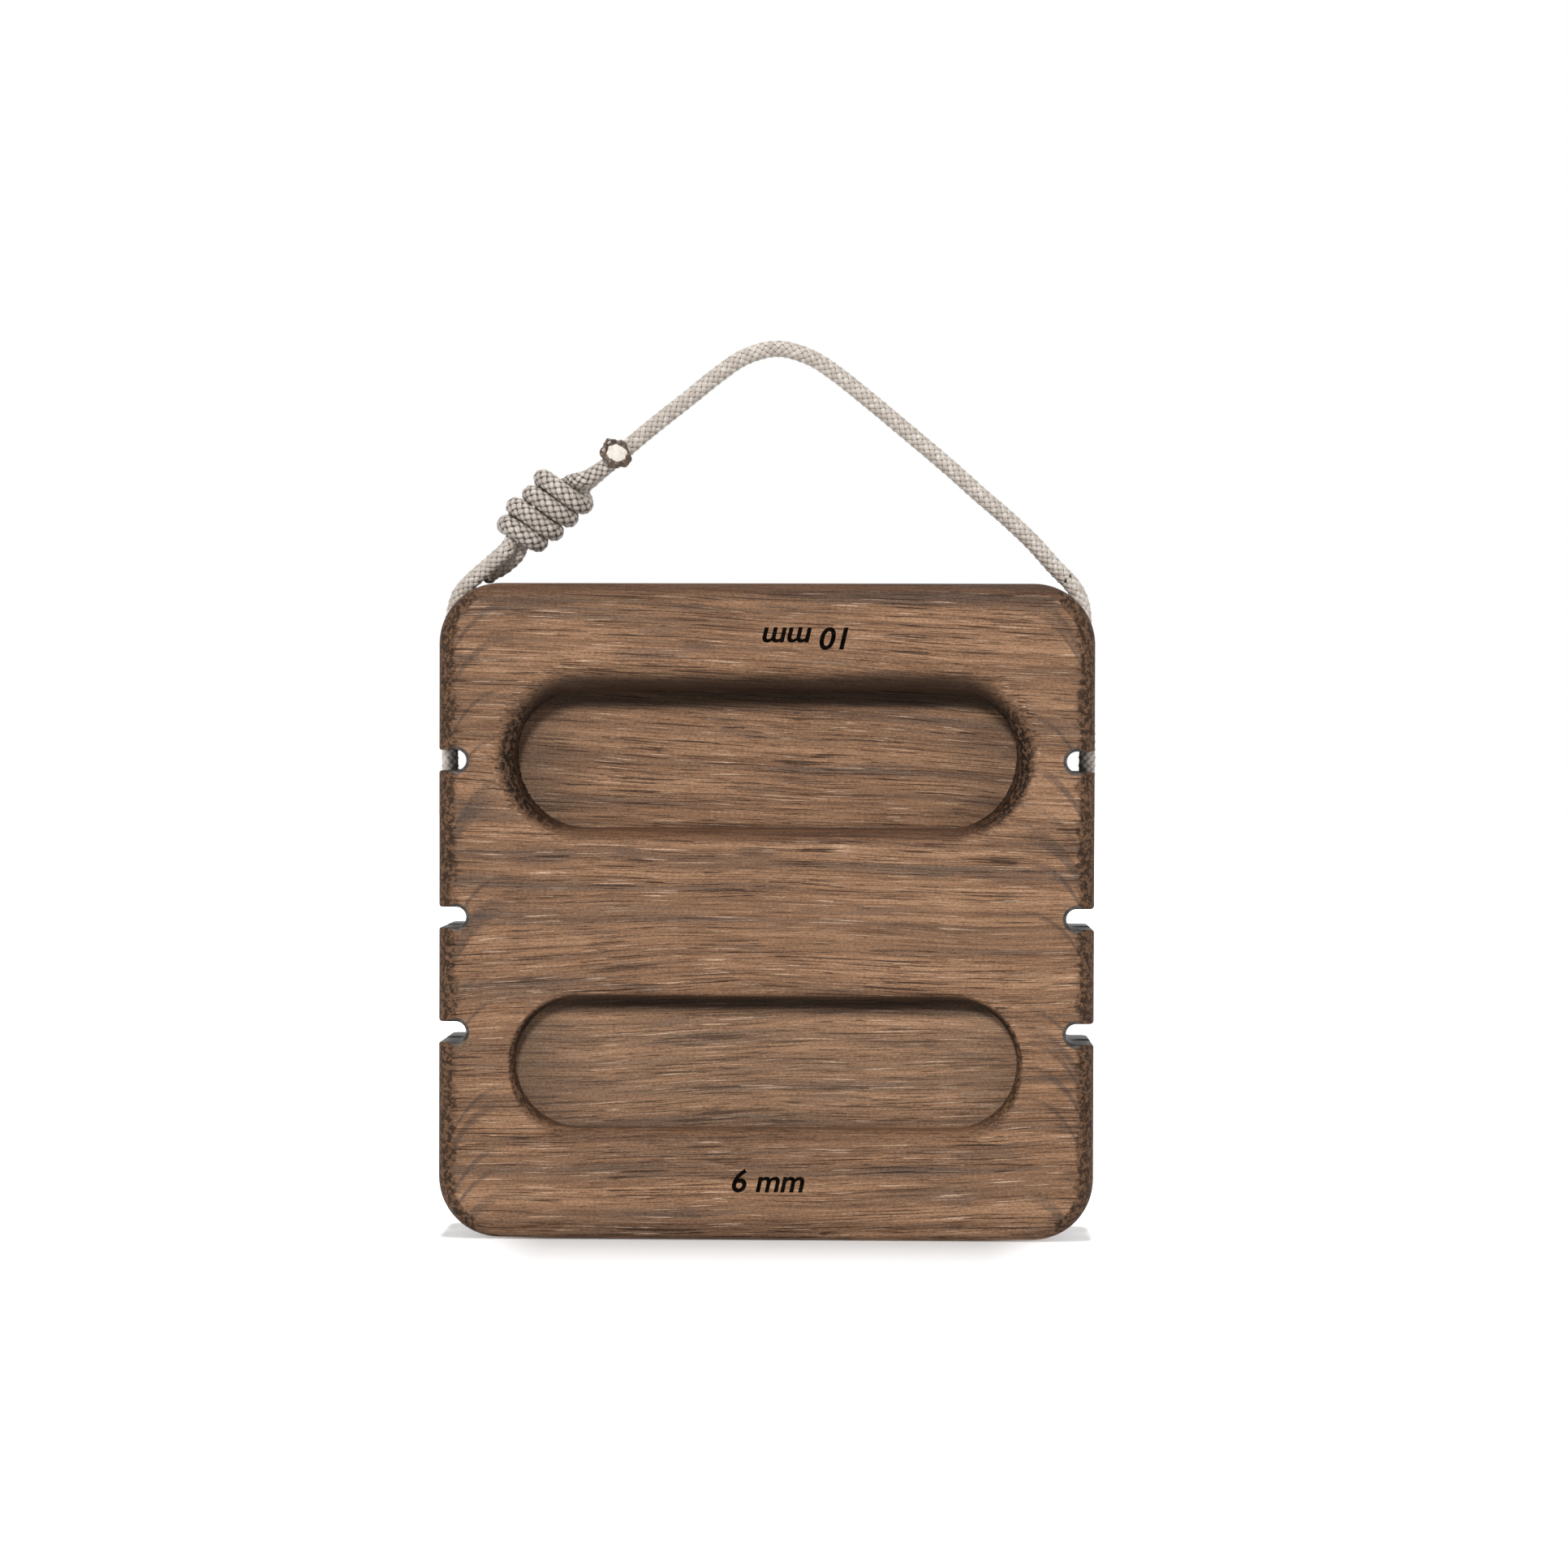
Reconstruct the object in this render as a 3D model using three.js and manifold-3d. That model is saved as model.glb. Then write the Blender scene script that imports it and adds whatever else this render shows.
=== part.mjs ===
// Portable climbing board: a rounded block of dark wood with finger pockets on both faces, three
// notches in each side and a cord channel round its edge, hung from one cord tied into a loop.
// Millimetres. X runs across the board, Y from its front face to its back, Z up from its lower edge.
import * as THREE from 'three';
import { mergeVertices } from 'three/addons/utils/BufferGeometryUtils.js';
import Module from 'manifold-3d';

// The block of wood
const boardWidth = 150;
const boardHeight = 150;
const boardThickness = 30;
const boardCornerRadius = 14;
const boardEdgeRound = 4;

// The finger pockets, two rows of them, one row above and one below the middle of each face
const pocketRowSpacing = 69.8;
const pocketLength = 115.2;
const pocketFloorRound = 1;
const incutPocket = {
  height: 31,
  depth: 10,
  incut: 2.5,
  lipTop: 5,
  lipSide: 3.2,
  lipBottom: 3.6,
  lipDepth: 4,
};
const shallowPocket = {
  height: 29.6,
  depth: 6,
  incut: 0,
  lipTop: 2.8,
  lipSide: 1.4,
  lipBottom: 2.6,
  lipDepth: 2.4,
};
const middlePocket = {
  height: 26,
  depth: 15,
  incut: 0,
  lipTop: 4,
  lipSide: 4,
  lipBottom: 4,
  lipDepth: 4,
};
const deepPocket = {
  height: 26,
  depth: 20,
  incut: 0,
  lipTop: 4,
  lipSide: 4,
  lipBottom: 4,
  lipDepth: 4,
};

// The notches through both sides: one just below the middle of the board, one above it and one
// below
const notchHeight = 4.7;
const notchDepth = 6.5;
const notchRimEase = 0.85;
const notchMouthEase = 0.8;
const upperNotchRise = 34.4;
const middleNotchDrop = 1.5;
const lowerNotchDrop = 27.7;

// The cord, and the channel and cross bore that hold it
const cordDiameter = 4;
const cordClearance = 0.5;
const cordFlushDepth = 0.1;
const channelExitRadius = 12.5;
const channelExitDrop = 7.5;
const boreHeight = 84;
const boreBendRadius = 8;

// The knot: its place and lean, its room round the core, and the squeezed cord and the spacing of
// its turns as shares of the cord's diameter
const knotCentreX = -52.3;
const knotCentreZ = 166.5;
const knotLean = THREE.MathUtils.degToRad(42.6);
const wrapAcrossSlack = 0.15;
const wrapForwardSlack = 0.55;
const wrapCordShare = 0.925;
const coreCordShare = 0.75;
const wrapPitchShare = 1.1;
const wrapFirstPlaceShare = 0.6;
const wrapTurns = 1.5;

// The melted ends of the cord: the upper one is flared and the lower one is trimmed small
const upperMeltedRadius = 2.95;
const lowerMeltedRadius = 2.25;
const meltedLength = 1.5;
const meltedDome = 0.45;

// Clearances and counts
const jointGap = 0.3;
const cutOverrun = 3;
const quarterTurn = Math.PI / 2;
const fullTurn = Math.PI * 2;
const edgeSteps = 5;
const cornerSteps = 10;
const pocketEndSteps = 14;
const lipSteps = 4;
const floorSteps = 2;
const notchEndSteps = 10;
const rimSteps = 2;
const bendSteps = 7;
const cordSides = 10;
const freeCordSteps = 64;
const tailSteps = 14;
const channelSides = 12;
const loopSteps = 24;
const loopsPerWrap = 3;
const wrapSides = 6;

const cordRadius = cordDiameter / 2;
const wrapCordRadius = cordRadius * wrapCordShare;
const coreCordRadius = cordRadius * coreCordShare;
const channelRadius = cordRadius + cordClearance;
const channelX = boardWidth / 2 - cordRadius - cordFlushDepth;
const boardMiddle = boardHeight / 2;
const frontFace = -boardThickness / 2;

const wasm = await Module();
wasm.setup();

// Solids and cuts

function solidFrom(geometry) {
  const bare = geometry.clone();
  bare.deleteAttribute('normal');
  bare.deleteAttribute('uv');
  const merged = mergeVertices(bare);
  return new wasm.Manifold(new wasm.Mesh({
    numProp: 3,
    vertProperties: new Float32Array(merged.attributes.position.array),
    triVerts: new Uint32Array(merged.index.array),
  }));
}

function geometryFrom(solid) {
  const cut = solid.getMesh();
  const geometry = new THREE.BufferGeometry();
  geometry.setAttribute('position', new THREE.Float32BufferAttribute(cut.vertProperties, cut.numProp));
  geometry.setIndex(Array.from(cut.triVerts));
  geometry.computeVertexNormals();
  return geometry;
}

// A closed body from rings that stand square to Y, each seen anticlockwise from the front
function loftAlongDepth(rings) {
  const count = rings[0].length;
  const positions = rings.flat().flatMap((point) => [point.x, point.y, point.z]);
  const index = [];
  for (let ring = 0; ring + 1 < rings.length; ring += 1) {
    for (let step = 0; step < count; step += 1) {
      const next = (step + 1) % count;
      const near = ring * count;
      const far = near + count;
      index.push(near + step, far + step, far + next);
      index.push(near + step, far + next, near + next);
    }
  }
  const outline = rings[0].map((point) => new THREE.Vector2(point.x, point.z));
  const last = (rings.length - 1) * count;
  for (const [a, b, c] of THREE.ShapeUtils.triangulateShape(outline, [])) {
    index.push(a, b, c);
    index.push(last + a, last + c, last + b);
  }
  const geometry = new THREE.BufferGeometry();
  geometry.setAttribute('position', new THREE.Float32BufferAttribute(positions, 3));
  geometry.setIndex(index);
  return geometry;
}

// A closed body from a convex section carried along a line of points without twisting
function sweep(points, sectionAt, startNormal) {
  const positions = [];
  const index = [];
  const normal = startNormal.clone();
  const count = sectionAt(0).length;
  points.forEach((point, place) => {
    const before = points[Math.max(place - 1, 0)];
    const after = points[Math.min(place + 1, points.length - 1)];
    const ahead = after.clone().sub(before).normalize();
    normal.addScaledVector(ahead, -normal.dot(ahead)).normalize();
    const across = new THREE.Vector3().crossVectors(ahead, normal);
    for (const [out, over] of sectionAt(place)) {
      const corner = point.clone().addScaledVector(normal, out).addScaledVector(across, over);
      positions.push(corner.x, corner.y, corner.z);
    }
  });
  for (let ring = 0; ring + 1 < points.length; ring += 1) {
    for (let step = 0; step < count; step += 1) {
      const next = (step + 1) % count;
      const near = ring * count;
      const far = near + count;
      index.push(near + step, near + next, far + next);
      index.push(near + step, far + next, far + step);
    }
  }
  const last = (points.length - 1) * count;
  for (let step = 1; step + 1 < count; step += 1) {
    index.push(0, step + 1, step);
    index.push(last, last + step, last + step + 1);
  }
  const geometry = new THREE.BufferGeometry();
  geometry.setAttribute('position', new THREE.Float32BufferAttribute(positions, 3));
  geometry.setIndex(index);
  geometry.computeVertexNormals();
  return geometry;
}

function roundSection(radius, sides) {
  const section = [];
  for (let step = 0; step < sides; step += 1) {
    const angle = fullTurn * (step / sides);
    section.push([radius * Math.cos(angle), radius * Math.sin(angle)]);
  }
  return section;
}

function tube(points, radiusAt, sides, startNormal) {
  return sweep(points, (place) => roundSection(radiusAt(place), sides), startNormal);
}

// The block

function blockGeometry() {
  const halfWidth = boardWidth / 2;
  const across = halfWidth - boardCornerRadius;
  const low = boardCornerRadius;
  const high = boardHeight - boardCornerRadius;
  const outline = new THREE.Shape();
  outline.absarc(across, low, boardCornerRadius, -quarterTurn, 0);
  outline.absarc(across, high, boardCornerRadius, 0, quarterTurn);
  outline.absarc(-across, high, boardCornerRadius, quarterTurn, Math.PI);
  outline.absarc(-across, low, boardCornerRadius, Math.PI, Math.PI + quarterTurn);
  outline.closePath();
  const geometry = new THREE.ExtrudeGeometry(outline, {
    depth: boardThickness - 2 * boardEdgeRound,
    bevelThickness: boardEdgeRound,
    bevelSize: boardEdgeRound,
    bevelOffset: -boardEdgeRound,
    bevelSegments: edgeSteps,
    curveSegments: cornerSteps,
  });
  geometry.rotateX(quarterTurn);
  geometry.translate(0, boardThickness / 2 - boardEdgeRound, 0);
  return geometry;
}

// One ring of a pocket: a long outline with round ends, let out by its own amount on each side
function pocketRing(y, middle, height, outTop, outSide, outBottom) {
  const straight = (pocketLength - height) / 2;
  const reach = height / 2 + outSide;
  const top = middle + height / 2 + outTop;
  const bottom = middle - height / 2 - outBottom;
  const ring = [];
  for (const side of [1, -1]) {
    for (let step = 0; step <= pocketEndSteps; step += 1) {
      const angle = Math.PI * (step / pocketEndSteps) - quarterTurn;
      const x = side * (straight + reach * Math.cos(angle));
      const z = (top + bottom) / 2 + side * ((top - bottom) / 2) * Math.sin(angle);
      ring.push(new THREE.Vector3(x, y, z));
    }
  }
  return ring;
}

// The space of a pocket: a rounded lip, a wall that may lean out behind its upper lip, a flat floor
function pocketGeometry(pocket, middle, fromBack) {
  const rings = [];
  const addRing = (depth, outTop, outSide, outBottom) => {
    const y = frontFace + depth;
    rings.push(pocketRing(y, middle, pocket.height, outTop, outSide, outBottom));
  };
  addRing(-cutOverrun, pocket.lipTop, pocket.lipSide, pocket.lipBottom);
  for (let step = 0; step <= lipSteps; step += 1) {
    const angle = quarterTurn * (step / lipSteps);
    const left = 1 - Math.sin(angle);
    const depth = pocket.lipDepth * (1 - Math.cos(angle));
    addRing(depth, pocket.lipTop * left, pocket.lipSide * left, pocket.lipBottom * left);
  }
  for (let step = 0; step <= floorSteps; step += 1) {
    const angle = quarterTurn * (step / floorSteps);
    const drawnIn = -pocketFloorRound * (1 - Math.cos(angle));
    const depth = pocket.depth - pocketFloorRound * (1 - Math.sin(angle));
    addRing(depth, pocket.incut + drawnIn, drawnIn, drawnIn);
  }
  const geometry = loftAlongDepth(rings);
  if (fromBack) {
    geometry.rotateZ(Math.PI);
  }
  return geometry;
}

// One ring of a notch: a slot in from the side with a round inner end and an eased mouth
function notchRing(y, middle, out) {
  const side = boardWidth / 2;
  const half = notchHeight / 2 + out;
  const centre = side - notchDepth + notchHeight / 2;
  const mouth = half + notchMouthEase;
  const ring = [new THREE.Vector3(side + cutOverrun, y, middle - mouth)];
  const mirrored = [new THREE.Vector3(side + cutOverrun, y, middle + mouth)];
  for (let step = 0; step <= rimSteps; step += 1) {
    const angle = quarterTurn * (step / rimSteps);
    const x = side - notchMouthEase * (1 - Math.cos(angle));
    const z = mouth - notchMouthEase * Math.sin(angle);
    ring.push(new THREE.Vector3(x, y, middle - z));
    mirrored.push(new THREE.Vector3(x, y, middle + z));
  }
  const end = [];
  for (let step = 0; step <= notchEndSteps; step += 1) {
    const angle = quarterTurn + Math.PI * (step / notchEndSteps);
    end.push(new THREE.Vector3(centre + half * Math.cos(angle), y, middle + half * Math.sin(angle)));
  }
  return [...ring.reverse(), ...mirrored, ...end];
}

function notchGeometry(middle, turned) {
  const rings = [];
  const halfThickness = boardThickness / 2;
  const steps = [];
  for (let step = 0; step <= rimSteps; step += 1) {
    const angle = quarterTurn * (step / rimSteps);
    const out = notchRimEase * (1 - Math.sin(angle));
    steps.push([halfThickness - notchRimEase * (1 - Math.cos(angle)), out]);
  }
  rings.push(notchRing(-halfThickness - cutOverrun, middle, notchRimEase));
  for (const [y, out] of steps) {
    rings.push(notchRing(-y, middle, out));
  }
  for (const [y, out] of steps.reverse()) {
    rings.push(notchRing(y, middle, out));
  }
  rings.push(notchRing(halfThickness + cutOverrun, middle, notchRimEase));
  const geometry = loftAlongDepth(rings);
  if (turned) {
    geometry.rotateZ(Math.PI);
  }
  return geometry;
}

// The cord's held route

// Points of an arc in the plane of the cord, from one angle to the other
function arcPoints(centreX, centreZ, radius, from, to) {
  const points = [];
  for (let step = 0; step <= bendSteps; step += 1) {
    const angle = from + (to - from) * (step / bendSteps);
    const x = centreX + radius * Math.cos(angle);
    const z = centreZ + radius * Math.sin(angle);
    points.push(new THREE.Vector3(x, 0, z));
  }
  return points;
}

const exitTurn = quarterTurn / 2;
const exitCentreX = channelX - channelExitRadius;
const exitBendZ = boardHeight - channelExitDrop;
const exitPoint = new THREE.Vector3(
  exitCentreX + channelExitRadius * Math.cos(exitTurn),
  0,
  exitBendZ + channelExitRadius * Math.sin(exitTurn),
);
const exitDirection = new THREE.Vector3(-Math.sin(exitTurn), 0, Math.cos(exitTurn));

// The right channel's centre line, from beyond the upper corner to beyond the lower one
function channelPoints() {
  const upper = arcPoints(exitCentreX, exitBendZ, channelExitRadius, exitTurn, 0);
  const beyond = exitPoint.clone().addScaledVector(exitDirection, boardCornerRadius);
  const half = [beyond, ...upper];
  const lower = half.map((point) => new THREE.Vector3(point.x, 0, boardHeight - point.z)).reverse();
  return [...half, ...lower];
}

// Half of the held cord's line: out of the middle of the cross bore, round into the right channel
// and up to the corner where the cord leaves the wood
function heldHalf() {
  const bend = arcPoints(
    channelX - boreBendRadius,
    boreHeight + boreBendRadius,
    boreBendRadius,
    -quarterTurn,
    0,
  );
  return [...bend, ...arcPoints(exitCentreX, exitBendZ, channelExitRadius, 0, exitTurn)];
}

function heldPoints() {
  const right = heldHalf();
  const left = right.map((point) => new THREE.Vector3(-point.x, 0, point.z)).reverse();
  return [...left, ...right];
}

// A channel section: round where the cord lies, straight walls out past the side of the board
function channelSection() {
  const section = [];
  for (let step = 0; step <= channelSides / 2; step += 1) {
    const angle = Math.PI * (step / (channelSides / 2)) - quarterTurn;
    section.push([channelRadius * Math.cos(angle), channelRadius * Math.sin(angle)]);
  }
  const reach = channelRadius + cutOverrun;
  section.push([-reach, channelRadius]);
  section.push([-reach, -channelRadius]);
  return section;
}

function channelGeometry() {
  return sweep(channelPoints(), channelSection, new THREE.Vector3(-1, 0, 0));
}

function boreGeometry() {
  return tube(heldPoints(), () => channelRadius, channelSides, new THREE.Vector3(0, 1, 0));
}

function boardGeometry() {
  const upperRow = boardMiddle + pocketRowSpacing / 2;
  const lowerRow = boardMiddle - pocketRowSpacing / 2;
  const cuts = [
    pocketGeometry(incutPocket, upperRow, false),
    pocketGeometry(shallowPocket, lowerRow, false),
    pocketGeometry(middlePocket, upperRow, true),
    pocketGeometry(deepPocket, lowerRow, true),
    channelGeometry(),
    channelGeometry().rotateZ(Math.PI),
    boreGeometry(),
  ];
  for (const offset of [upperNotchRise, -middleNotchDrop, -lowerNotchDrop]) {
    cuts.push(notchGeometry(boardMiddle + offset, false));
    cuts.push(notchGeometry(boardMiddle + offset, true));
  }
  let board = solidFrom(blockGeometry());
  for (const cut of cuts) {
    board = board.subtract(solidFrom(cut));
  }
  return geometryFrom(board);
}

// The knot

const knotCentre = new THREE.Vector3(knotCentreX, 0, knotCentreZ);
const knotAlong = new THREE.Vector3(Math.cos(knotLean), 0, Math.sin(knotLean));
const knotAcross = new THREE.Vector3(-Math.sin(knotLean), 0, Math.cos(knotLean));
const knotForward = new THREE.Vector3(0, -1, 0);

// A point of the knot: along it, across it and forward of it
function knotPoint(along, across, forward) {
  return knotCentre.clone()
    .addScaledVector(knotAlong, along)
    .addScaledVector(knotAcross, across)
    .addScaledVector(knotForward, forward);
}

// The core is two strands side by side, and the wraps go round both
const coreOffset = coreCordRadius + jointGap / 2;
const wrapAcross = coreOffset + coreCordRadius + jointGap + wrapCordRadius + wrapAcrossSlack;
const wrapForward = coreCordRadius + jointGap + wrapCordRadius + wrapForwardSlack;
const wrapPitch = cordDiameter * wrapPitchShare;
const wrapStart = cordDiameter * wrapFirstPlaceShare + wrapPitch + wrapPitch / 4;

// The strand that crosses behind one half of the knot before it turns into the wraps, in cord
// diameters: along, across and forward
const crossingShares = [
  [0.13, 0.56, -1.48],
  [0.43, 0.46, -1.98],
  [0.98, 0, -2.12],
  [1.53, -0.65, -1.98],
  [1.93, -1.18, -1.3],
];

// The end of the wraps, tucked in beside the core, in cord diameters
const tuckShares = [
  [0.2, 1.28, -0.42],
  [0.14, 1.04, -0.56],
];

function knotPointFrom([along, across, forward]) {
  return knotPoint(along * cordDiameter, across * cordDiameter, forward * cordDiameter);
}

// One half of the knot: a crossing behind, then a turn and a half that shows two wraps in front
function wrapPoints(side) {
  const place = ([along, across, forward]) => knotPointFrom([side * along, side * across, forward]);
  const points = crossingShares.map(place);
  for (let step = 0; step <= wrapTurns * loopSteps; step += 1) {
    const turn = step / loopSteps;
    const angle = fullTurn * turn;
    const along = wrapStart - wrapPitch * turn;
    const across = -wrapAcross * Math.cos(angle);
    const forward = wrapForward * Math.sin(angle);
    points.push(knotPoint(side * along, side * across, forward));
  }
  points.push(...tuckShares.map(place));
  return new THREE.CatmullRomCurve3(points).getSpacedPoints(loopsPerWrap * loopSteps);
}

// The free cord: its route above the board, from the right corner over the top to the knot and
// down to the left corner, as places across and up, all in the plane of the channel
const rightRoute = [
  [61.3, 159.7],
  [55.3, 165.4],
  [48.8, 171],
  [42.4, 176.7],
  [35.8, 182.3],
  [29, 188],
  [22.2, 193.6],
  [15.2, 199.1],
  [9.4, 202.7],
  [2, 204.6],
  [-5.4, 202.8],
  [-11.1, 199.1],
  [-18, 193.6],
  [-25.1, 188],
  [-31.9, 182.4],
  [-38.6, 176.6],
];
const leftRoute = [
  [-65.2, 154.4],
];

// Where the loop's strand lies inside the knot, in cord diameters: along, across and forward
const coreShares = [
  [2.1, -0.41, 0],
  [0.8, -0.41, 0],
  [0.2, -0.2, 0],
  [-0.2, 0.2, 0],
  [-0.8, 0.41, 0],
  [-1.6, 0.41, 0],
  [-2.3, 0.14, 0.2],
  [-2.9, -0.14, 0.34],
  [-3.5, -0.27, 0.31],
];

function loopPoints() {
  const start = exitPoint.clone().addScaledVector(exitDirection, jointGap);
  const leadIn = start.clone().addScaledVector(exitDirection, cordDiameter);
  const leadOut = start.clone().addScaledVector(exitDirection, cordRadius / 2);
  const mirror = (point) => new THREE.Vector3(-point.x, 0, point.z);
  const points = [
    start,
    leadIn,
    ...rightRoute.map(([x, z]) => new THREE.Vector3(x, 0, z)),
    ...coreShares.map(knotPointFrom),
    ...leftRoute.map(([x, z]) => new THREE.Vector3(x, 0, z)),
    mirror(leadOut),
    mirror(start),
  ];
  return new THREE.CatmullRomCurve3(points).getSpacedPoints(freeCordSteps);
}

// The radius along a strand, which is squeezed where the knot grips it
function squeezedRadius(line) {
  const gripped = wrapStart + wrapCordRadius;
  return (place) => {
    const away = Math.abs(line[place].clone().sub(knotCentre).dot(knotAlong));
    const freed = THREE.MathUtils.smoothstep(away, gripped, gripped + cordDiameter);
    return THREE.MathUtils.lerp(coreCordRadius, cordRadius, freed);
  };
}

// The two cord ends that leave the knot, in cord diameters: along, across and forward
const upperTailShares = [
  [0.95, 0.41, 0],
  [1.5, 0.41, 0],
  [2.1, 0.42, 0.13],
  [2.5, 0.25, 0.5],
  [2.8, -0.02, 0.85],
  [3.2, -0.3, 1.05],
  [3.9, -0.48, 1.12],
  [4.5, -0.58, 1.18],
  [5.05, -0.62, 1.32],
  [5.35, -0.55, 1.8],
];
const lowerTailShares = [
  [-0.95, -0.41, 0],
  [-1.5, -0.41, 0],
  [-2.05, -0.51, -0.28],
  [-2.58, -0.64, -0.6],
  [-3.3, -0.66, -0.88],
  [-4, -0.58, -1.06],
  [-4.45, -0.42, -1.25],
  [-4.65, -0.36, -1.65],
];

function tailPoints(shares) {
  return new THREE.CatmullRomCurve3(shares.map(knotPointFrom)).getSpacedPoints(tailSteps);
}

// A melted cord end: a bead with a low dome, turned to face along the end of its tail
function meltedEndGeometry(tail, beadRadius) {
  const end = tail[tail.length - 1];
  const ahead = end.clone().sub(tail[tail.length - 2]).normalize();
  const half = meltedLength / 2;
  const profile = [new THREE.Vector2(0, 0)];
  profile.push(new THREE.Vector2(cordRadius, 0));
  for (let step = 0; step <= rimSteps * 2; step += 1) {
    const angle = Math.PI * (step / (rimSteps * 2)) - quarterTurn;
    const bulge = (beadRadius - cordRadius) * Math.cos(angle);
    profile.push(new THREE.Vector2(cordRadius + bulge, half + half * Math.sin(angle)));
  }
  profile.push(new THREE.Vector2(cordRadius * Math.SQRT1_2, meltedLength + meltedDome * Math.SQRT1_2));
  profile.push(new THREE.Vector2(0, meltedLength + meltedDome));
  const kept = profile.filter((point, place) => place === 0 || point.distanceTo(profile[place - 1]) > 0);
  const geometry = new THREE.LatheGeometry(kept, loopSteps / 2);
  geometry.applyQuaternion(new THREE.Quaternion().setFromUnitVectors(new THREE.Vector3(0, 1, 0), ahead));
  const place = end.clone().addScaledVector(ahead, jointGap);
  geometry.translate(place.x, place.y, place.z);
  return geometryFrom(solidFrom(geometry));
}

// The least distance between the surfaces of two strands, or of one strand and itself further on
function leastGap(first, firstRadius, second, secondRadius, skipped) {
  let least = Infinity;
  first.forEach((point, place) => {
    second.forEach((other, otherPlace) => {
      if (first !== second || Math.abs(place - otherPlace) > skipped) {
        least = Math.min(least, point.distanceTo(other) - firstRadius - secondRadius);
      }
    });
  });
  return least;
}

// The assembly

const wood = new THREE.MeshStandardMaterial({ color: 0x6b4d3b, roughness: 0.6, metalness: 0 });
const cord = new THREE.MeshStandardMaterial({ color: 0xb9b0a6, roughness: 0.5, metalness: 0 });
const meltedCord = new THREE.MeshStandardMaterial({ color: 0x4a3524, roughness: 0.4, metalness: 0 });

const group = new THREE.Group();

function add(name, geometry, material) {
  const mesh = new THREE.Mesh(geometry, material);
  mesh.name = name;
  group.add(mesh);
}

const sideways = new THREE.Vector3(0, 1, 0);
const held = heldPoints();
const loop = loopPoints();
const upperWrap = wrapPoints(1);
const lowerWrap = wrapPoints(-1);
const upperTail = tailPoints(upperTailShares);
const lowerTail = tailPoints(lowerTailShares);
const fullCord = () => cordRadius;
const wrapCord = () => wrapCordRadius;

add('board', boardGeometry(), wood);
add('cord_held_run', tube(held, fullCord, cordSides, sideways), cord);
add('cord_loop', tube(loop, squeezedRadius(loop), cordSides, sideways), cord);
add('knot_wraps_upper', tube(upperWrap, wrapCord, wrapSides, knotAlong), cord);
add('knot_wraps_lower', tube(lowerWrap, wrapCord, wrapSides, knotAlong), cord);
add('cord_tail_upper', tube(upperTail, squeezedRadius(upperTail), cordSides, sideways), cord);
add('cord_tail_lower', tube(lowerTail, squeezedRadius(lowerTail), cordSides, sideways), cord);
add('melted_end_upper', meltedEndGeometry(upperTail, upperMeltedRadius), meltedCord);
add('melted_end_lower', meltedEndGeometry(lowerTail, lowerMeltedRadius), meltedCord);

const selfSkip = Math.ceil(loopSteps / 3);
const gaps = {
  'upper wraps to themselves': leastGap(upperWrap, wrapCordRadius, upperWrap, wrapCordRadius, selfSkip),
  'lower wraps to themselves': leastGap(lowerWrap, wrapCordRadius, lowerWrap, wrapCordRadius, selfSkip),
  'upper wraps to lower wraps': leastGap(upperWrap, wrapCordRadius, lowerWrap, wrapCordRadius, 0),
  'upper wraps to loop': leastGap(upperWrap, wrapCordRadius, loop, coreCordRadius, 0),
  'lower wraps to loop': leastGap(lowerWrap, wrapCordRadius, loop, coreCordRadius, 0),
  'upper wraps to tail': leastGap(upperWrap, wrapCordRadius, upperTail, coreCordRadius, 0),
  'lower wraps to tail': leastGap(lowerWrap, wrapCordRadius, lowerTail, coreCordRadius, 0),
  'upper tail to loop': leastGap(upperTail, coreCordRadius, loop, coreCordRadius, 0),
  'lower tail to loop': leastGap(lowerTail, coreCordRadius, loop, coreCordRadius, 0),
};
for (const [name, gap] of Object.entries(gaps)) {
  console.log(`least gap, ${name}: ${gap.toFixed(2)} mm`);
}

export default group;
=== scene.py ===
import math

import bpy
import numpy as np
from mathutils import Matrix, Quaternion, Vector, noise


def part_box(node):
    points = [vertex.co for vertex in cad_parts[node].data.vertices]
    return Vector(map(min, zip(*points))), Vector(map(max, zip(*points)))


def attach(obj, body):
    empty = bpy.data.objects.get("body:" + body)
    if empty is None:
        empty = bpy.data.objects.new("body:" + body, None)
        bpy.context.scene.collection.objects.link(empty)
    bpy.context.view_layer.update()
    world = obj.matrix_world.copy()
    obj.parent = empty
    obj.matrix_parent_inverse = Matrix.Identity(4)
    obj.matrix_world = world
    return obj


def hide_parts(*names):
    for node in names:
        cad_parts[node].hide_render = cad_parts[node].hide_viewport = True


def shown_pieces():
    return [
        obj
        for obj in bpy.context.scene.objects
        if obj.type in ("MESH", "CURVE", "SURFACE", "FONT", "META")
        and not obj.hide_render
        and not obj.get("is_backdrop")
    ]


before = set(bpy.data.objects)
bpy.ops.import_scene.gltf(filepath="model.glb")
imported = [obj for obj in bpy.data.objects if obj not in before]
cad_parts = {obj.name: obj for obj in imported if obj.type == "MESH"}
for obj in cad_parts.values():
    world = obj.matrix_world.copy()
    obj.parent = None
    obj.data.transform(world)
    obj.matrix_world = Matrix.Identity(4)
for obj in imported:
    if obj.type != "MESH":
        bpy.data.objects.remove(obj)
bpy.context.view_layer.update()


# Camera
# It looks at the front of the board from 0.88 m away, a little from the right and from the height
# of the upper pocket. The picture is square.
camera_distance = 0.88
camera_turn = math.radians(1.5)
camera_pitch = math.radians(0.9)
camera_roll = math.radians(0.15)
camera_target = Vector((0.00375, 0, 0.10395))
framed_width = 0.3633

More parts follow.
